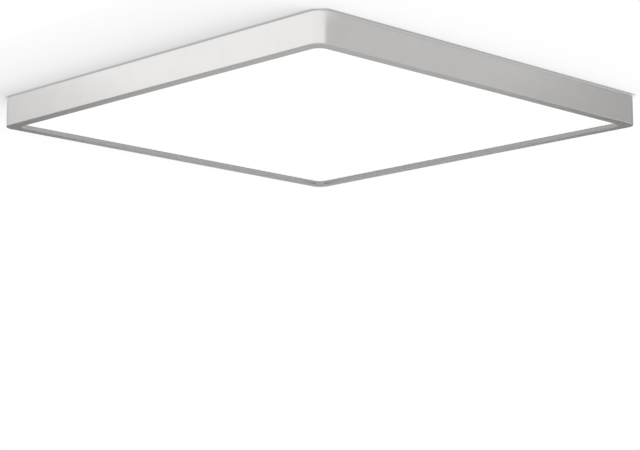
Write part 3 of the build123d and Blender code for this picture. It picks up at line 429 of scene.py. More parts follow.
@dataclass(frozen=True)
class ZincSheet(Finish):
    """Zinc-coated steel sheet, cut and pressed: crystals of zinc catch the light one by one.

    Attributes:
        crystal_mm: size of one zinc crystal.
        wander_mm: how far the crystals' edges wander.
        dark_crystal: sRGB hex colour of a crystal that faces away.
        least_rough: roughness of the smoothest crystals.
    """

    crystal_mm: float = 3.5
    wander_mm: float = 1.6
    dark_crystal: str = "#ABB0B6"
    least_rough: float = 0.26

    def crystals(self, tree: Tree) -> Socket:
        """Gives each crystal a value of its own, from 0 to 1.

        Args:
            tree: the material's node tree.

        Returns:
            The value's socket.
        """
        place = millimetres(tree)
        drift = {"Scale": 1 / self.wander_mm, "Detail": 3.0}
        cloud = add_node(tree, "TexNoise", drift, {"Vector": place}).outputs["Color"]
        reach = {"operation": "MULTIPLY_ADD", 1: (self.wander_mm,) * 3}
        moved = add_node(tree, "VectorMath", reach, {0: cloud, 2: place}).outputs["Vector"]
        cells = {"Scale": 1 / self.crystal_mm}
        pattern = add_node(tree, "TexVoronoi", cells, {"Vector": moved})
        parts = add_node(tree, "SeparateColor", links={0: pattern.outputs["Color"]})
        return parts.outputs["Red"]

    def tint(self, tree: Tree) -> Tint:
        """Shades the crystals, from the sheet's colour to the dark one."""
        return self.crystals(tree), self.dark_crystal

    def gloss(self, tree: Tree) -> Socket:
        """Makes some crystals smoother than others."""
        reach = {"To Min": self.least_rough, "To Max": self.roughness}
        return add_node(tree, "MapRange", reach, {"Value": self.crystals(tree)}).outputs["Result"]


@dataclass(frozen=True)
class DrawnMetal(Finish):
    """Metal drawn or rolled along X: fine lines run with it and pull the highlights out.

    Attributes:
        line_ratio: length of a line, as a multiple of its width.
    """

    line_ratio: float = 20.0

    def height(self, tree: Tree) -> Socket:
        """Draws the lines along X."""
        return mottle(tree, self.grain_mm, stretch=(1 / self.line_ratio, 1.0, 1.0))


@dataclass(frozen=True)
class LedPackage(Finish):
    """White moulded LED packages in a row, each with a window of yellow phosphor gel.

    Attributes:
        window_colour: sRGB hex colour of the gel.
        window_mm: width of the window along the row.
        pitch_mm: distance between the packages along Y.
        row_start_mm: middle of the first package.
    """

    window_colour: str = "#F3D14E"
    window_mm: float = 2.4
    pitch_mm: float = 9.0
    row_start_mm: float = -112.5

    def tint(self, tree: Tree) -> Tint:
        """Marks out the window in the middle of each package.

        Args:
            tree: the material's node tree.

        Returns:
            The window's share and colour.
        """
        parts = add_node(tree, "SeparateXYZ", links={0: millimetres(tree)})
        along = {"operation": "SUBTRACT", 1: self.row_start_mm}
        run = add_node(tree, "Math", along, {0: parts.outputs["Y"]})
        fold = {"operation": "PINGPONG", 1: self.pitch_mm / 2}
        away = add_node(tree, "Math", fold, {0: run.outputs[0]})
        inside = {"operation": "LESS_THAN", 1: self.window_mm / 2}
        window = add_node(tree, "Math", inside, {0: away.outputs[0]})
        return window.outputs[0], self.window_colour


@dataclass(frozen=True)
class SolderMask(Finish):
    """Glass-fibre board under solder mask: the copper tracks below show as a paler net.

    Attributes:
        track_colour: sRGB hex colour of the mask over copper.
        net_mm: distance between tracks.
        track_mm: width of a track.
    """

    track_colour: str = "#2F7A48"
    net_mm: float = 3.0
    track_mm: float = 0.72

    def tint(self, tree: Tree) -> Tint:
        """Marks out the tracks.

        Args:
            tree: the material's node tree.

        Returns:
            The tracks' share and colour.
        """
        cells = {"feature": "DISTANCE_TO_EDGE", "Scale": 1 / self.net_mm}
        net = add_node(tree, "TexVoronoi", cells, {"Vector": millimetres(tree)})
        inside = {"operation": "LESS_THAN", 1: self.track_mm / 2 / self.net_mm}
        tracks = add_node(tree, "Math", inside, {0: net.outputs["Distance"]})
        return tracks.outputs[0], self.track_colour


@dataclass(frozen=True)
class TapeWraps(Finish):
    """Polyester tape wound in layers: each wrap's edge stands up a little.

    Attributes:
        wrap_mm: width that shows of one wrap.
    """

    wrap_mm: float = 2.0

    def height(self, tree: Tree) -> Socket:
        """Steps the surface from wrap to wrap.

        Args:
            tree: the material's node tree.

        Returns:
            The height's socket.
        """
        bands = {"wave_profile": "SAW", "Scale": 1 / (WAVE_BANDS * self.wrap_mm)}
        return add_node(tree, "TexWave", bands, {"Vector": millimetres(tree)}).outputs["Fac"]


FINISHES: dict[str, Finish] = {
    # Aluminium profile, blasted and anodised in natural silver: a smooth soft sheen, no streaks;
    # painted shade darkens the wall round the opening.
    "frame_aluminium": FrameMetal("#EFEDEB", 0.36, metallic=1.0, variation=0.01, grain_mm=0.3,
                                  grain_height_mm=0.0012),
    # Opal acrylic sheet, extruded: evenly lit, white all over.
    "opal_acrylic": OpalSheet("#F7F7F5", 0.35, ior=1.49, variation=0.004, glow=0.65),
    # Cast clear acrylic, laser cut: like glass, with a grid of white printed dots.
    "clear_acrylic": DottedAcrylic("#EFF5F3", 0.06, ior=1.49, variation=0.005,
                                   grain_height_mm=0.0005),
    # White polyester film with fine voids: flat white with a faint sheen.
    "white_film": Finish("#F2F2EF", 0.62, ior=1.6, variation=0.01, grain_mm=0.5,
                         grain_height_mm=0.003),
    # Polyethylene foam, sliced: open cells make it look soft.
    "white_foam": CellFoam("#E4E3DD", 0.92, variation=0.03, grain_height_mm=0.12),
    # Zinc-coated steel sheet, pressed: bluish grey, with crystals that flash one by one.
    "zinc_steel": ZincSheet("#C2C5C9", 0.4, metallic=1.0, variation=0.03, grain_mm=0.6,
                            grain_height_mm=0.002, edge_mm=0.12),
    # Cold-headed steel screws, zinc plated: bright and slightly blue.
    "screw_steel": Finish("#C3C6C9", 0.27, metallic=1.0, variation=0.05, variation_mm=1.5,
                          grain_mm=0.25, grain_height_mm=0.002),
    # Steel rivets, upset cold: greyer than the screws, dented by the tool.
    "rivet_steel": Finish("#ADADAC", 0.36, metallic=1.0, variation=0.06, variation_mm=1.2,
                          grain_mm=0.3, grain_height_mm=0.004),
    # Stainless spring strip, cold rolled: bright, with fine lines along the strip.
    "spring_steel": DrawnMetal("#CFCDC9", 0.22, metallic=1.0, variation=0.02, grain_mm=0.15,
                               grain_height_mm=0.0015, edge_mm=0.08),
    # Steel screws with a green dye over zinc, as earth screws have: green metal.
    "green_steel": Finish("#4FA866", 0.34, metallic=1.0, variation=0.06, variation_mm=1.5,
                          grain_mm=0.25, grain_height_mm=0.002),
    # Aluminium-core board under white solder mask: glossy white, tracks barely show.
    "board_white": SolderMask("#F0F0EC", 0.3, variation=0.01, track_colour="#E4E4DF",
                              grain_height_mm=0.001),
    # White moulded LED packages with windows of phosphor gel.
    "led_phosphor": LedPackage("#F1EFE6", 0.38, variation=0.02, grain_height_mm=0.002,
                               edge_mm=0.08),
    # Thermal transfer tape, acrylic on film: matt, bluish white.
    "thermal_tape": Finish("#D8DCE6", 0.6, variation=0.02),
    # Nylon, natural, moulded: milky, with a soft shine.
    "socket_nylon": Finish("#E9E6DA", 0.42, ior=1.53, grain_mm=0.3, edge_mm=0.1),
    # Black rubber, moulded: dull, with a bloom that greys it in places.
    "grommet_rubber": Finish("#1D1D1D", 0.78, ior=1.52, variation=0.12, variation_mm=4.0,
                             grain_mm=0.3, grain_height_mm=0.008, edge_mm=0.15),
    # Flame-retardant polycarbonate, moulded in a spark-eroded tool: fine even grain, off-white.
    "driver_plastic": Finish("#E7E7E4", 0.5, ior=1.58, variation=0.015, variation_mm=25.0,
                             grain_mm=0.35, grain_height_mm=0.012, edge_mm=0.25),
    # Glass-fibre board under green solder mask: glossy, with paler tracks.
    "board_green": SolderMask("#1F5C34", 0.28, variation=0.03, grain_height_mm=0.001),
    # Sintered ferrite, ground: dark grey, dull, slightly speckled.
    "ferrite": Finish("#323336", 0.55, variation=0.12, variation_mm=0.8, grain_height_mm=0.01,
                      edge_mm=0.15),
    # Polyester tape round the winding: glossy yellow in wraps.
    "winding_tape": TapeWraps("#E5C132", 0.26, variation=0.04, grain_height_mm=0.06),
    # Shrunk plastic sleeve over an aluminium can: dark blue, glossy.
    "capacitor_sleeve": Finish("#1D2748", 0.26, variation=0.05, grain_height_mm=0.002, edge_mm=0.3),
    # Black epoxy, transfer moulded: matt with a fine sparkle of filler.
    "chip_epoxy": Finish("#1C1C1C", 0.52, variation=0.08, variation_mm=0.6, grain_mm=0.15,
                         grain_height_mm=0.006, edge_mm=0.1),
    # Glass-filled nylon, black, moulded: slightly streaky.
    "selector_plastic": Finish("#1E1E1E", 0.45, variation=0.08, variation_mm=2.0, edge_mm=0.1),
    # Acetal, black, moulded: smooth with a waxy shine.
    "knob_plastic": Finish("#171717", 0.32, variation=0.04, grain_height_mm=0.002, edge_mm=0.12),
    # Polycarbonate, light grey, moulded in a polished tool: clean and glossy.
    "terminal_plastic": Finish("#CDD0D2", 0.26, ior=1.58, variation=0.01, grain_mm=0.8,
                               grain_height_mm=0.002, edge_mm=0.2),
    # Copper strip, punched and thinly tinned: pale copper, duller where it was bent.
    "terminal_copper": Finish("#D9A27C", 0.3, metallic=1.0, variation=0.07, variation_mm=2.0,
                              grain_mm=0.25, grain_height_mm=0.003, edge_mm=0.08),
    # Glass-filled nylon levers, moulded: one colour for each pole.
    "lever_black": Finish("#1A1A1A", 0.34, ior=1.53, variation=0.05, variation_mm=3.0, edge_mm=0.2),
    "lever_white": Finish("#EDEDE9", 0.34, ior=1.53, variation=0.02, variation_mm=3.0, edge_mm=0.2),
    "lever_green": Finish("#2B8A4A", 0.34, ior=1.53, variation=0.04, variation_mm=3.0, edge_mm=0.2),
    # Soft PVC, extruded over the strands: even colour, faint waves where the strands press through.
    "wire_black": Finish("#1B1B1B", 0.42, ior=1.53, variation=0.05, grain_mm=1.2,
                         grain_height_mm=0.02),
    "wire_white": Finish("#EAEAE6", 0.42, ior=1.53, variation=0.03, grain_mm=1.2,
                         grain_height_mm=0.02),
    "wire_green": Finish("#2A8548", 0.42, ior=1.53, variation=0.04, grain_mm=1.2,
                         grain_height_mm=0.02),
    "led_cable": Finish("#E3E3DE", 0.46, ior=1.53, variation=0.03, grain_mm=1.5,
                        grain_height_mm=0.02),
    # Nylon, natural, moulded: milky, with a soft shine.
    "clip_nylon": Finish("#E8E5DB", 0.44, ior=1.53, grain_mm=0.3, edge_mm=0.2),
}


@cache
def material_of(slot: str) -> bpy.types.Material:
    """Gives the material of a slot, and builds it the first time."""
    return FINISHES[slot].material(slot)


# ---------------------------------------------------------------- pieces
def finish_node(node: str) -> None:
    """Gives a CAD node the finish of its material slot.

    Args:
        node: name of the node.
    """
    for place in FRAME["nodes"][node].material_slots:
        place.link = "OBJECT"
        place.material = material_of(SLOT_OF[node])
    log.info("%s is finished as %s", node, SLOT_OF[node])


def add_piece(name: str, data: bpy.types.Mesh | bpy.types.Curve, node: str) -> bpy.types.Object:
    """Adds a piece that stands for a CAD node, with the node's own body, slot and finish.

    Args:
        name: name of the piece.
        data: its mesh or curve.
        node: the node that it replaces.

    Returns:
        The piece.
    """
    piece = bpy.data.objects.new(name, data)
    data.materials.append(material_of(SLOT_OF[node]))
    bpy.context.scene.collection.objects.link(piece)
    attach(piece, BODY_OF[node])
    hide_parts(node)
    log.info("%s stands for %s", name, node)
    return piece


def mesh_of(name: str, shape: Shape) -> bpy.types.Mesh:
    """Turns a shape into a mesh that is smooth but for its creases.

    Args:
        name: name of the mesh.
        shape: the shape, which is used up.

    Returns:
        The mesh.
    """
    bmesh.ops.recalc_face_normals(shape, faces=shape.faces)
    for face in shape.faces:
        face.smooth = True
    for edge in shape.edges:
        edge.smooth = edge.calc_face_angle(0.0) < CREASE
    mesh = bpy.data.meshes.new(name)
    shape.to_mesh(mesh)
    shape.free()
    return mesh


def add_ring(shape: Shape, place: Point, radius: float, sides: int) -> Ring:
    """Adds a level ring of points, or one point where the radius is 0.

    Args:
        shape: the shape that takes the ring.
        place: its centre, in millimetres.
        radius: its radius, in millimetres.
        sides: number of points.

    Returns:
        The points.
    """
    x, y, z = place
    if not radius:
        return [shape.verts.new((x * MM, y * MM, z * MM))]
    turns = [2 * math.pi * side / sides for side in range(sides)]
    return [
        shape.verts.new(((x + radius * math.cos(a)) * MM, (y + radius * math.sin(a)) * MM, z * MM))
        for a in turns
    ]


def join_rings(shape: Shape, first: Ring, second: Ring) -> None:
    """Joins two rings, or a ring and a point, by faces.

    Args:
        shape: the shape that holds them.
        first: a ring or one point.
        second: a ring or one point.
    """
    sides = max(len(first), len(second))
    for side in range(sides):
        here, there = side, (side + 1) % sides
        corners = [first[here % len(first)], first[there % len(first)],
                   second[there % len(second)], second[here % len(second)]]
        shape.faces.new(list(dict.fromkeys(corners)))


def turn(
    shape: Shape, place: Point, outline: list[tuple[float, float]], sides: int, up: float
) -> Ring:
    """Adds a turned body.

    Args:
        shape: the shape that takes it.
        place: foot of its axis, in millimetres.
        outline: radius and height of each ring, in millimetres, the last ring being left open.
        sides: number of sides.
        up: 1 if heights count upwards, -1 if they count downwards.

    Returns:
        The points of the last ring.
    """
    x, y, z = place
    rings = [add_ring(shape, (x, y, z + up * height), radius, sides) for radius, height in outline]
    if len(rings[0]) > 1:
        shape.faces.new(rings[0])
    for first, second in zip(rings, rings[1:]):
        join_rings(shape, first, second)
    return rings[-1]


def fill_between(shape: Shape, outer: Ring, inner: Ring) -> None:
    """Closes the flat space between two rings, one of which lies inside the other.

    Args:
        shape: the shape that holds them.
        outer: the outer ring.
        inner: the inner ring.
    """
    loops = [
        shape.edges.get(pair) or shape.edges.new(pair)
        for ring in (outer, inner)
        for pair in zip(ring, ring[1:] + ring[:1])
    ]
    bmesh.ops.triangle_fill(shape, use_beauty=True, edges=loops)


class Drive(Enum):
    """What a screwdriver or spanner takes hold of."""

    CROSS = "cross recess"
    HEX = "hexagon"


@dataclass(frozen=True)
class Screw:
    """Machine screw: head, drive and rolled thread. Sizes are in millimetres.

    Attributes:
        drive: what turns it.
        head_radius: radius of the head, to the corners of a hexagon.
        head_height: height of the head above its seat or washer.
        shank_radius: radius over the thread.
        length: from the seat to the tip.
        washer_radius: radius of the washer under the head, or 0.
        washer_height: its thickness.
        pitch: distance between two turns of the thread.
        thread_depth: depth of the thread.
        overlap: how far its solids run into each other.
        sides: sides of the round parts.
        pan_profile: shares of radius and height along a pan head, from its seat to its top.
        cross_reach: half the length of the cross recess, as a share of the head's radius.
        cross_width: half its width, as such a share.
        cross_fillet: how far out two of its arms meet, as a multiple of half its width.
        cross_floor: height and size of its floor, as shares of the head's height and of its mouth.
        hex_chamfer: height of the hexagon's chamfer.
        hex_top: shares of its radius at the chamfer's end, the dish's edge and the dish's floor.
        dish_depth: depth of the dish.
    """

    drive: Drive
    head_radius: float
    head_height: float
    shank_radius: float
    length: float
    washer_radius: float = 0.0
    washer_height: float = 0.0
    pitch: float = 0.7
    thread_depth: float = 0.22
    overlap: float = 0.05
    sides: int = 32
    pan_profile: tuple[tuple[float, float], ...] = (
        (0.95, 0.0), (1.0, 0.1), (1.0, 0.42), (0.95, 0.66), (0.86, 0.84), (0.74, 0.95), (0.62, 1.0)
    )
    cross_reach: float = 0.52
    cross_width: float = 0.115
    cross_fillet: float = 1.3
    cross_floor: tuple[float, float] = (0.28, 0.5)
    hex_chamfer: float = 0.3
    hex_top: tuple[float, float, float] = (0.87, 0.6, 0.52)
    dish_depth: float = 0.25

    def add(self, shape: Shape, place: Point, up: float) -> None:
        """Adds the screw to a shape.

        Args:
            shape: the shape that takes it.
            place: middle of its seat.
            up: 1 for a head on top, -1 for a head below.
        """
        self.add_shank(shape, place, up)
        if self.drive is Drive.CROSS:
            self.add_pan_head(shape, place, up)
        else:
            self.add_hex_head(shape, place, up)

    def add_shank(self, shape: Shape, place: Point, up: float) -> None:
        """Adds the shank, with ridges at the thread's pitch and a tapered tip.

        Args:
            shape: the shape that takes it.
            place: middle of the screw's seat.
            up: 1 for a head on top, -1 for a head below.
        """
        root = self.shank_radius - self.thread_depth
        outline = [(root, self.overlap)]
        for ridge in range(int(self.length / self.pitch) - 1):
            level = -(ridge + 0.5) * self.pitch
            outline += [(root, level + self.pitch / 4), (self.shank_radius, level)]
        outline += [(root, self.pitch - self.length), (root / 2, -self.length), (0.0, -self.length)]
        turn(shape, place, outline, self.sides // 2, up)

    def add_pan_head(self, shape: Shape, place: Point, up: float) -> None:
        """Adds a pan head with a cross recess.

        Args:
            shape: the shape that takes it.
            place: middle of the screw's seat.
            up: 1 for a head on top, -1 for a head below.
        """
        radius, height = self.head_radius, self.head_height
        outline = [(wide * radius, high * height) for wide, high in self.pan_profile]
        rim = turn(shape, place, outline, self.sides, up)
        reach, half = self.cross_reach * radius, self.cross_width * radius
        arm = ((reach, -half), (reach, half), (self.cross_fillet * half, self.cross_fillet * half))
        quarters = ((1, 0), (0, 1), (-1, 0), (0, -1))
        cross = [(x * c - y * s, x * s + y * c) for c, s in quarters for x, y in arm]
        depth, shrink = self.cross_floor
        mouth, floor = (
            [
                shape.verts.new((Vector(place) + Vector((size * x, size * y, up * level))) * MM)
                for x, y in cross
            ]
            for size, level in ((1.0, height), (shrink, depth * height))
        )
        join_rings(shape, mouth, floor)
        shape.faces.new(floor)
        fill_between(shape, rim, mouth)

    def add_hex_head(self, shape: Shape, place: Point, up: float) -> None:
        """Adds a washer and a chamfered hexagon with a shallow dish in its end.

        Args:
            shape: the shape that takes it.
            place: middle of the screw's seat.
            up: 1 for a head on top, -1 for a head below.
        """
        thick, wide, edge = self.washer_height, self.washer_radius, self.overlap
        inner, high = wide - edge, thick - edge
        washer = [(inner, 0.0), (wide, edge), (wide, high), (inner, thick), (0.0, thick)]
        turn(shape, place, washer, self.sides, up)
        radius, top = self.head_radius, thick + self.head_height
        end, mouth, floor = (share * radius for share in self.hex_top)
        hexagon = [(radius, high), (radius, top - self.hex_chamfer), (end, top)]
        rim = turn(shape, place, hexagon, 6, up)
        dish = turn(shape, place, [(floor, top - self.dish_depth), (mouth, top)], self.sides, up)
        fill_between(shape, rim, dish)


@dataclass(frozen=True)
class Rivet:
    """Blind rivet: domed heads with the mark of its pin. Sizes are in millimetres.

    Attributes:
        head_radius: radius of the heads.
        head_height: height of the domed head.
        shank_radius: radius of the shank.
        grip: distance between the two heads' seats.
        foot_height: height of the flat head at the other end, or 0 for an end that is flush.
        sides: number of sides.
        dome_profile: shares of radius and height along the domed head, from the pin's mark out.
        foot_profile: such shares along the flat head.
    """

    head_radius: float = 2.4
    head_height: float = 0.8
    shank_radius: float = 1.5
    grip: float = 2.0
    foot_height: float = 0.0
    sides: int = 32
    dome_profile: tuple[tuple[float, float], ...] = (
        (0.0, 0.35), (0.28, 0.35), (0.3, 0.86), (0.36, 1.0), (0.6, 0.92), (0.82, 0.68), (0.95, 0.4),
        (1.0, 0.14), (1.0, 0.0),
    )
    foot_profile: tuple[tuple[float, float], ...] = (
        (0.96, 0.0), (1.0, 0.33), (0.85, 1.0), (0.0, 1.0)
    )

    def add(self, shape: Shape, place: Point, up: float) -> None:
        """Adds the rivet to a shape.

        Args:
            shape: the shape that takes it.
            place: middle of the domed head's seat.
            up: 1 for a domed head on top, -1 for one below.
        """
        radius = self.head_radius
        outline = [(wide * radius, high * self.head_height) for wide, high in self.dome_profile]
        outline += [(self.shank_radius, 0.0), (self.shank_radius, -self.grip)]
        if self.foot_height:
            foot = ((wide * radius, high * self.foot_height) for wide, high in self.foot_profile)
            outline += [(wide, -self.grip - high) for wide, high in foot]
        else:
            outline.append((0.0, -self.grip))
        turn(shape, place, outline, self.sides, up)


PAN_SCREW = Screw(Drive.CROSS, head_radius=2.2, head_height=1.3, shank_radius=1.25, length=5.0)
EARTH_SCREW = Screw(Drive.HEX, head_radius=3.6, head_height=2.2, shank_radius=2.0, length=2.0,
                    washer_radius=3.8, washer_height=0.5)


def add_fasteners(
    name: str, node: str, fastener: Screw | Rivet, places: list[Point], up: float = 1.0
) -> None:
    """Adds equal screws or rivets as one piece that stands for a CAD node.

    Args:
        name: name of the piece.
        node: the node that it replaces.
        fastener: the screw or rivet.
        places: middle of each one's seat, in millimetres.
        up: 1 for heads on top, -1 for heads below.
    """
    shape = bmesh.new()
    for place in places:
        fastener.add(shape, place, up)
    add_piece(name, mesh_of(name, shape), node)


# ---------------------------------------------------------------- sub-assemblies
@dataclass
class SubAssembly:
    """A group of CAD nodes that are finished together, with the pieces that replace others."""

    nodes: tuple[str, ...] = ()

    def make(self) -> None:
        """Finishes the nodes and builds the pieces."""
        for node in self.nodes:
            finish_node(node)
        self.build()

    def build(self) -> None:
        """Builds the pieces that replace plain nodes."""


@dataclass
class Rim(SubAssembly):
    """Frame with the sheets that it carries."""

    nodes: tuple[str, ...] = ("frame", "diffuser", "light_guide", "reflector", "foam_sheet")


@dataclass
class LightSource(SubAssembly):
    """LED boards on two walls of the frame, with their tapes, sockets and grommets."""

    nodes: tuple[str, ...] = tuple(
        name + side
        for name in ("thermal_tape", "led_strip", "led_chips", "strip_socket", "edge_grommet")
        for side in ("_left", "_right")
    )


@dataclass
class BackPlate(SubAssembly):
    """Pressed plate that closes the frame, with its screws and the riveted catches.

    Attributes:
        screw_x_mm: places of the screws along each of two sides.
        screw_y_mm: distance of the two rows from the middle.
        plate_top_mm: height of the plate's upper face.
        catch_x_mm: distance of the catches' rivets from the middle.
        catch_y_mm: half the distance between two rivets.
        catch_top_mm: height of the catch's upper face round a rivet.
        rivet_foot_mm: height of the rivets' flat heads below.
    """

    nodes: tuple[str, ...] = ("back_plate", "catch_left", "catch_right")
    screw_x_mm: tuple[float, ...] = (-138.0, 0.0, 138.0)
    screw_y_mm: float = 146.0
    plate_top_mm: float = -11.0
    catch_x_mm: float = 97.1
    catch_y_mm: float = 11.0
    catch_top_mm: float = -9.8
    rivet_foot_mm: float = 0.4

    def build(self) -> None:
        """Builds the screws and the rivets."""
        rows = (-self.screw_y_mm, self.screw_y_mm)
        places = [(x, y, self.plate_top_mm) for y in rows for x in self.screw_x_mm]
        add_fasteners("plate_pan_screws", "back_plate_screws", PAN_SCREW, places)
        ends, rows = ((-reach, reach) for reach in (self.catch_x_mm, self.catch_y_mm))
        places = [(x, y, self.catch_top_mm) for x in ends for y in rows]
        rivet = Rivet(foot_height=self.rivet_foot_mm)
        add_fasteners("catch_dome_rivets", "catch_rivets", rivet, places)


@dataclass
class CeilingMount(SubAssembly):
    """Bracket that stays on the ceiling, with its leaf springs and earth screw.

    Attributes:
        rivet_x_mm: distances of the springs' rivets from the middle.
        spring_low_mm: height of the springs' lower face.
        earth_place_mm: middle of the earth screw's seat.
        earth_length_mm: length of that screw.
    """

    nodes: tuple[str, ...] = ("ceiling_bracket", "clip_spring_left", "clip_spring_right")
    rivet_x_mm: tuple[float, ...] = (66.54, 75.54)
    spring_low_mm: float = -2.0
    earth_place_mm: Point = (55.0, 7.0, -1.5)
    earth_length_mm: float = 1.5

    def build(self) -> None:
        """Builds the rivets and the earth screw, all with their heads below."""
        places = [(end * x, 0.0, self.spring_low_mm) for end in (-1, 1) for x in self.rivet_x_mm]
        add_fasteners("spring_dome_rivets", "spring_rivets", Rivet(), places, up=-1.0)
        screw, places = replace(EARTH_SCREW, length=self.earth_length_mm), [self.earth_place_mm]
        add_fasteners("bracket_hex_screw", "bracket_earth_screw", screw, places, up=-1.0)


@dataclass
class Driver(SubAssembly):
    """Slim driver with its board, components and colour selector."""

    nodes: tuple[str, ...] = (
        "driver_case", "driver_lid", "driver_board", "driver_transformer", "transformer_winding",
        "driver_capacitors", "driver_choke", "driver_chips", "selector_housing", "selector_knob",
    )


@dataclass
class TerminalBlock(SubAssembly):
    """Lever terminal block with its contacts, and the screws of the block and the driver.

    Attributes:
        screw_places_mm: places of the screws.
        seat_mm: height of the screws' seats.
        screw_length_mm: their length.
    """

    nodes: tuple[str, ...] = (
        "terminal_body", "terminal_contacts", "lever_live", "lever_neutral", "lever_earth",
    )
    screw_places_mm: tuple[tuple[float, float], ...] = (
        (-60.0, -36.5), (60.0, -36.5), (-14.25, 40.0), (14.25, 40.0)
    )
    seat_mm: float = -9.0
    screw_length_mm: float = 3.2

    def build(self) -> None:
        """Builds the screws."""
        screw = replace(PAN_SCREW, length=self.screw_length_mm)
        places = [(x, y, self.seat_mm) for x, y in self.screw_places_mm]
        add_fasteners("module_pan_screws", "module_screws", screw, places)


@dataclass
class Lead:
    """Insulated lead, held at both ends and by its clips.

    Attributes:
        node: the CAD node that it replaces.
        radius_mm: radius over the insulation.
        route_mm: points that it follows, two more near each bend.
        round_steps: steps in each quarter of its section.
        bend_steps: steps between two of its points.
    """

    node: str
    radius_mm: float
    route_mm: tuple[Point, ...]
    round_steps: int = 5
    bend_steps: int = 10

    def build(self, name: str) -> None:
        """Builds the lead as a smooth tube.

        Args:
            name: name of the piece.
        """
        line = bpy.data.curves.new(name, "CURVE")
        line.dimensions = "3D"
        line.bevel_depth = self.radius_mm * MM
        line.bevel_resolution = self.round_steps
        line.use_fill_caps = True
        spline = line.splines.new("NURBS")
        spline.points.add(len(self.route_mm) - 1)
        for point, place in zip(spline.points, self.route_mm):
            point.co = (*(part * MM for part in place), 1.0)
        spline.order_u = 3
        spline.use_endpoint_u = True
        spline.resolution_u = self.bend_steps
        add_piece(name, line, self.node)


@dataclass
class Wiring(SubAssembly):
    """Leads behind the lamp, with their clips, the earth eyelet and its screw.

    Attributes:
        level_mm: height of the leads' middle over most of their way.
        supply_radius_mm: radius of the leads from the terminal block.
        led_radius_mm: radius of the leads to the LED boards.
        earth_place_mm: middle of the earth screw's seat.
    """

    nodes: tuple[str, ...] = ("lead_clips", "earth_lug")
    level_mm: float = -8.6
    supply_radius_mm: float = 1.0
    led_radius_mm: float = 1.2
    earth_place_mm: Point = (26.0, 57.0, -10.2)

    def build(self) -> None:
        """Builds the leads and the earth screw."""
        for name, lead in self.leads().items():
            lead.build(name)
        add_fasteners("plate_hex_screw", "earth_screw", EARTH_SCREW, [self.earth_place_mm])

    def leads(self) -> dict[str, Lead]:
        """Gives each lead its route.

        Returns:
            The leads, by the name of their piece.
        """
        level = self.level_mm
        live = ((51.3, -50), (58, -50), (69, -50), (69, -39), (69, 55), (69, 66), (58, 66),
                (4.5, 66), (-6.5, 66), (-6.5, 55), (-6.5, 45))
        neutral = ((51.3, -46), (57, -46), (65, -46), (65, -36), (65, 51), (65, 62), (54, 62),
                   (11, 62), (0, 62), (0, 54), (0, 45))
        earth = ((6.5, 45), (6.5, 51), (6.5, 57), (12, 57), (20.5, 57))
        flat = ((51.3, -63), (60, -63), (75, -63), (82, -74.2), (108.6, -116.8), (115.6, -128),
                (127, -128))
        made: dict[str, Lead] = {}
        for pole, way in (("live", live), ("neutral", neutral), ("earth", earth)):
            route = tuple((x, y, level) for x, y in way)
            made[pole + "_wire"] = Lead("lead_" + pole, self.supply_radius_mm, route)
        hump = ((133.6, -128.0, level), (138.6, -128.0, -4.2), (145.6, -128.0, -4.2),
                (145.6, -128.0, -8.4), (145.6, -128.0, -12.4))
        route = tuple((x, y, level) for x, y in flat) + hump
        for side, sign in (("right", 1), ("left", -1)):
            mirrored = tuple((sign * x, y, z) for x, y, z in route)
            made["led_cable_" + side] = Lead("led_lead_" + side, self.led_radius_mm, mirrored)
        return made


# ---------------------------------------------------------------- studio
@dataclass(frozen=True)
class ContactLine:
    """Dark line on the ceiling along the object's edge.

    Attributes:
        reach: distance over which the object takes light away.
        strength: power to which the share of light that is left is raised.
    """

    reach: float
    strength: float


@dataclass(frozen=True)
class GreyCard:
    """Curved grey card on the dim side, which metal shows.

    Attributes:
        start: direction of its first edge, in degrees from the X axis.
        end: direction of its last edge.
        foot: height of its lower edge.
    """

    start: float
    end: float
    foot: float


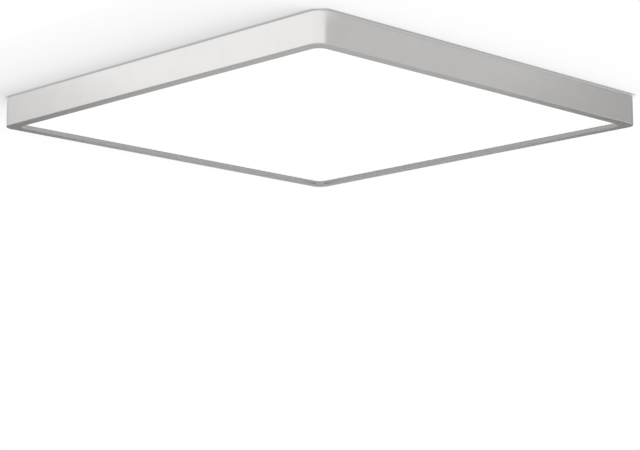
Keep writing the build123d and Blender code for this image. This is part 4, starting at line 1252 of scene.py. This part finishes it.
@dataclass
class Studio:
    """Ceiling, floor, lights and camera round the object.

    Attributes:
        camera_place: camera, in metres.
        camera_yaw: turn from the diagonal through the corner in front, in degrees.
        camera_pitch: tilt above the horizon, in degrees.
        camera_roll: roll, in degrees.
        lens_mm: focal length.
        sensor_mm: width of the sensor.
        view_reach: least and greatest distance that the camera sees.
        ceiling_lift: height of the ceiling's sheet above the object's own plane.
        ceiling_reach: half the ceiling's side.
        shade_lean: direction from which the ceiling gets most of its light.
        shade_reach: distance over which the object shades the ceiling.
        shade_depth: share of the light that the object can take from the ceiling.
        touch: dark line where the object meets the ceiling.
        touch_beyond: that line beyond the wall on +X.
        floor_level: height of the floor.
        floor_reach: half the floor's side.
        room_level: level at which the room lights what is matt, where 1 is white.
        floor_colour: sRGB hex colour of the floor.
        side_edges: places along Y between which the ceiling that metal shows gets bright.
        side_levels: its dim and its bright level.
        fade_aim: direction from the object in which it keeps its full level.
        fade_steps: cosines of the angle to fade_aim between which it climbs to that level.
        fade_shares: shares of the level at both ends of that climb.
        top_place: place of the softbox above the ceiling, which lights the back.
        top_size: its side.
        top_energy: its power, in watts.
        cards: the grey cards round the object.
        card_away: distance of the cards from the object.
        card_top: height of their upper edge.
        card_steps: number of flats in each card's curve.
        card_colour: sRGB hex colour of the cards.
        paint_roughness: roughness of the studio's panels.
    """

    camera_place: Point = (0.9066, -0.9049, -0.3127)
    camera_yaw: float = -0.057
    camera_pitch: float = 10.013
    camera_roll: float = -0.156
    lens_mm: float = 110.75
    sensor_mm: float = 36.0
    view_reach: tuple[float, float] = (0.01, 100.0)
    ceiling_lift: float = 0.0004
    ceiling_reach: float = 9.0
    shade_lean: Point = (0.6, 0.9, -1.0)
    shade_reach: float = 0.09
    shade_depth: float = 0.49
    touch: ContactLine = ContactLine(reach=0.003, strength=0.62)
    touch_beyond: ContactLine = ContactLine(reach=0.0033, strength=2.6)
    floor_level: float = -2.4
    floor_reach: float = 40.0
    room_level: float = 0.8
    floor_colour: str = "#DCDCDC"
    side_edges: tuple[float, float] = (-0.124, -0.158)
    side_levels: tuple[float, float] = (0.6, 1.06)
    fade_aim: Point = (0.7071, -0.7071, 0.0)
    fade_steps: tuple[float, float] = (-0.15, 0.5)
    fade_shares: tuple[float, float] = (0.63, 1.0)
    top_place: Point = (0.0, 0.5, 1.3)
    top_size: float = 1.2
    top_energy: float = 1.2
    cards: tuple[GreyCard, ...] = (
        GreyCard(85.0, 123.0, -1.4), GreyCard(123.0, 147.0, -0.5), GreyCard(147.0, 225.0, -1.4)
    )
    card_away: float = 2.0
    card_top: float = -0.12
    card_steps: int = 12
    card_colour: str = "#747474"
    paint_roughness: float = 0.9

    def build(self) -> None:
        """Builds the whole studio."""
        self.make_camera()
        self.make_ceiling()
        self.make_floor()
        self.make_room()
        self.hang_softbox()
        for number, card in enumerate(self.cards):
            self.stand_card(f"grey_card_{number}", card)

    def make_camera(self) -> None:
        """Places the camera below the ceiling, looking up at the corner in front."""
        turns = (self.camera_yaw, self.camera_pitch, self.camera_roll)
        yaw, pitch, roll = (math.radians(turn) for turn in turns)
        diagonal = Matrix.Rotation(math.radians(45), 3, "Z")
        flat = math.cos(pitch)
        ahead = Vector((math.sin(yaw) * flat, math.cos(yaw) * flat, math.sin(pitch)))
        level = Vector((math.cos(yaw), -math.sin(yaw), 0))
        upward = level.cross(ahead)
        right = math.cos(roll) * level + math.sin(roll) * upward
        up = -math.sin(roll) * level + math.cos(roll) * upward
        turned = Matrix([diagonal @ axis for axis in (right, up, -ahead)]).transposed()
        data = bpy.data.cameras.new("camera")
        data.lens, data.sensor_width = self.lens_mm, self.sensor_mm
        data.clip_start, data.clip_end = self.view_reach
        camera = bpy.data.objects.new("camera", data)
        camera.matrix_world = Matrix.Translation(self.camera_place) @ turned.to_4x4()
        bpy.context.scene.collection.objects.link(camera)
        bpy.context.scene.camera = camera

    def make_panel(
        self, name: str, corners: list[Point], faces: list[tuple[int, ...]], colour: str
    ) -> bpy.types.Object:
        """Makes a painted panel of the studio.

        Args:
            name: name of the panel.
            corners: its points, in metres.
            faces: its faces.
            colour: sRGB hex colour of its paint.

        Returns:
            The panel.
        """
        mesh = bpy.data.meshes.new(name)
        mesh.from_pydata(corners, [], faces)
        paint = bpy.data.materials.new(name + "_paint")
        paint.use_nodes = True
        shader = paint.node_tree.nodes["Principled BSDF"]
        shader.inputs["Base Color"].default_value = linear(colour)
        shader.inputs["Roughness"].default_value = self.paint_roughness
        mesh.materials.append(paint)
        panel = bpy.data.objects.new(name, mesh)
        bpy.context.scene.collection.objects.link(panel)
        return panel

    def stand_card(self, name: str, card: GreyCard) -> None:
        """Stands up a card that the camera doesn't see.

        Args:
            name: name of the card.
            card: its edges.
        """
        steps, width = self.card_steps, card.end - card.start
        turns = [math.radians(card.start + width * step / steps) for step in range(steps + 1)]
        corners = [
            (self.card_away * math.cos(angle), self.card_away * math.sin(angle), height)
            for height in (card.foot, self.card_top)
            for angle in turns
        ]
        faces = [(step, step + 1, step + steps + 2, step + steps + 1) for step in range(steps)]
        self.make_panel(name, corners, faces, self.card_colour).visible_camera = False

    def shade(self, tree: Tree, lean: Point, reach: float, depth: float) -> Socket:
        """Gives the share of light that is left on the ceiling beside the object.

        Args:
            tree: the ceiling's node tree.
            lean: direction from which most of the light comes.
            reach: distance over which the object takes light away.
            depth: largest share that it can take.

        Returns:
            The socket of the share.
        """
        normal = add_node(tree, "CombineXYZ", dict(enumerate(Vector(lean).normalized())))
        settings = {"samples": SHADE_SAMPLES, "Distance": reach}
        hidden = add_node(tree, "AmbientOcclusion", settings, {"Normal": normal.outputs[0]})
        left = {"To Min": 1 - depth, "To Max": 1.0}
        return add_node(tree, "MapRange", left, {"Value": hidden.outputs["AO"]}).outputs["Result"]

    def shade_touch(self, tree: Tree) -> Socket:
        """Gives the share of light that is left in the line where the object meets the ceiling.

        Args:
            tree: the ceiling's node tree.

        Returns:
            The socket of the share.
        """
        lines = []
        for line in (self.touch, self.touch_beyond):
            share = self.shade(tree, (0.0, 0.0, -1.0), line.reach, 1.0)
            power = {"operation": "POWER", 1: line.strength}
            lines.append(add_node(tree, "Math", power, {0: share}).outputs[0])
        place = add_node(tree, "NewGeometry").outputs["Position"]
        along = add_node(tree, "SeparateXYZ", links={0: place}).outputs["X"]
        past = {"operation": "GREATER_THAN", 1: CAD_BOX[1][0]}
        beyond = add_node(tree, "Math", past, {0: along}).outputs[0]
        links = {0: beyond, VALUE_A: lines[0], VALUE_B: lines[1]}
        return add_node(tree, "Mix", links=links).outputs[0]

    def rays(self, tree: Tree) -> tuple[Socket, Socket]:
        """Tells the rays that show the background, straight or in metal and glass.

        Args:
            tree: the node tree of a material or the world.

        Returns:
            A socket that is 1 for the camera's rays, and one that is 1 in metal and glass.
        """
        path = add_node(tree, "LightPath")
        links = {0: path.outputs["Is Glossy Ray"], 1: path.outputs["Is Transmission Ray"]}
        mirrored = add_node(tree, "Math", {"operation": "MAXIMUM"}, links)
        return path.outputs["Is Camera Ray"], mirrored.outputs[0]

    def mirrored_level(self, tree: Tree) -> Socket:
        """Gives the ceiling's level as metal and glass show it, with one side brighter.

        Args:
            tree: the ceiling's node tree.

        Returns:
            The level's socket.
        """
        place = add_node(tree, "NewGeometry").outputs["Position"]
        parts = add_node(tree, "SeparateXYZ", links={0: place})
        heading = add_node(tree, "VectorMath", {"operation": "NORMALIZE"}, {0: place})
        aim = {"operation": "DOT_PRODUCT", 1: self.fade_aim}
        toward = add_node(tree, "VectorMath", aim, {0: heading.outputs["Vector"]})
        turn_over = dict(zip(RANGE_INPUTS, self.side_edges + self.side_levels))
        turn_over["interpolation_type"] = "SMOOTHSTEP"
        side = add_node(tree, "MapRange", turn_over, {"Value": parts.outputs["Y"]})
        climb = dict(zip(RANGE_INPUTS, self.fade_steps + self.fade_shares))
        fade = add_node(tree, "MapRange", climb, {"Value": toward.outputs["Value"]})
        links = {0: side.outputs["Result"], 1: fade.outputs["Result"]}
        return add_node(tree, "Math", {"operation": "MULTIPLY"}, links).outputs[0]

    def make_ceiling(self) -> None:
        """Makes the ceiling, white but for the object's soft shadow.

        It is seen only from below, and metal shows it only beside the object, so that the back of
        the object shows the room above when it is looked at from there.
        """
        reach, height = self.ceiling_reach, self.ceiling_lift
        corners = [(x * reach, y * reach, height) for x, y in SQUARE]
        ceiling = self.make_panel("ceiling", corners, [(0, 1, 2, 3)], "#FFFFFF")
        tree = ceiling.active_material.node_tree
        tree.nodes.clear()
        wide = self.shade(tree, self.shade_lean, self.shade_reach, self.shade_depth)
        near = self.shade_touch(tree)
        shaded, dimmed = (
            add_node(tree, "Math", {"operation": "MULTIPLY"}, {0: level, 1: near}).outputs[0]
            for level in (wide, self.mirrored_level(tree))
        )
        camera, mirrored = self.rays(tree)
        links = {0: mirrored, VALUE_A: shaded, VALUE_B: dimmed}
        level = add_node(tree, "Mix", links=links)
        paint = add_node(tree, "Emission", links={"Strength": level.outputs[0]})
        gone = add_node(tree, "BsdfTransparent")
        spot = add_node(tree, "NewGeometry").outputs
        edge = {"operation": "GREATER_THAN", 1: CAD_BOX[1][0]}
        beside = add_node(tree, "Math", edge, {0: off_middle(tree, spot["Position"])})
        links = {0: mirrored, 1: beside.outputs[0], 2: camera}
        shown = add_node(tree, "Math", {"operation": "MULTIPLY_ADD"}, links)
        front = add_node(tree, "Math", {"operation": "SUBTRACT", 0: 1.0}, {1: spot["Backfacing"]})
        links = {0: shown.outputs[0], 1: front.outputs[0]}
        below = add_node(tree, "Math", {"operation": "MULTIPLY"}, links)
        links = {0: below.outputs[0], 1: gone.outputs[0], 2: paint.outputs[0]}
        mix = add_node(tree, "MixShader", links=links)
        add_node(tree, "OutputMaterial", links={"Surface": mix.outputs[0]})

    def make_floor(self) -> None:
        """Makes a pale floor well below the lamp."""
        reach, height = self.floor_reach, self.floor_level
        corners = [(x * reach, y * reach, height) for x, y in reversed(SQUARE)]
        self.make_panel("floor", corners, [(0, 1, 2, 3)], self.floor_colour)

    def make_room(self) -> None:
        """Makes a pale room: white to look at, a little lower as a light for what is matt."""
        world = bpy.data.worlds.new("room")
        bpy.context.scene.world = world
        world.use_nodes = True
        tree = world.node_tree
        tree.nodes.clear()
        pale = {"Color": linear("#FFFFFF")}
        room = add_node(tree, "Background", {**pale, "Strength": self.room_level})
        white = add_node(tree, "Background", {**pale, "Strength": 1.0})
        camera, mirrored = self.rays(tree)
        links = {0: camera, 1: mirrored}
        shown = add_node(tree, "Math", {"operation": "MAXIMUM"}, links)
        links = {0: shown.outputs[0], 1: room.outputs[0], 2: white.outputs[0]}
        mix = add_node(tree, "MixShader", links=links)
        add_node(tree, "OutputWorld", links={"Surface": mix.outputs[0]})

    def hang_softbox(self) -> None:
        """Hangs a softbox above the ceiling, aimed at the object, to light its back."""
        light = bpy.data.lights.new("top_softbox", "AREA")
        light.size, light.energy = self.top_size, self.top_energy
        lamp = bpy.data.objects.new("top_softbox", light)
        lamp.location = self.top_place
        lamp.rotation_euler = (-lamp.location).to_track_quat("-Z", "Y").to_euler()
        lamp.visible_camera = False
        bpy.context.scene.collection.objects.link(lamp)


def main() -> None:
    """Builds the studio and dresses the object, one sub-assembly after the other."""
    logging.basicConfig(level=logging.INFO, format="%(message)s")
    bpy.context.scene.view_settings.view_transform = "Standard"
    Studio().build()
    for group in (Rim, LightSource, BackPlate, CeilingMount, Driver, TerminalBlock, Wiring):
        group().make()


if __name__ == "__main__":
    main()
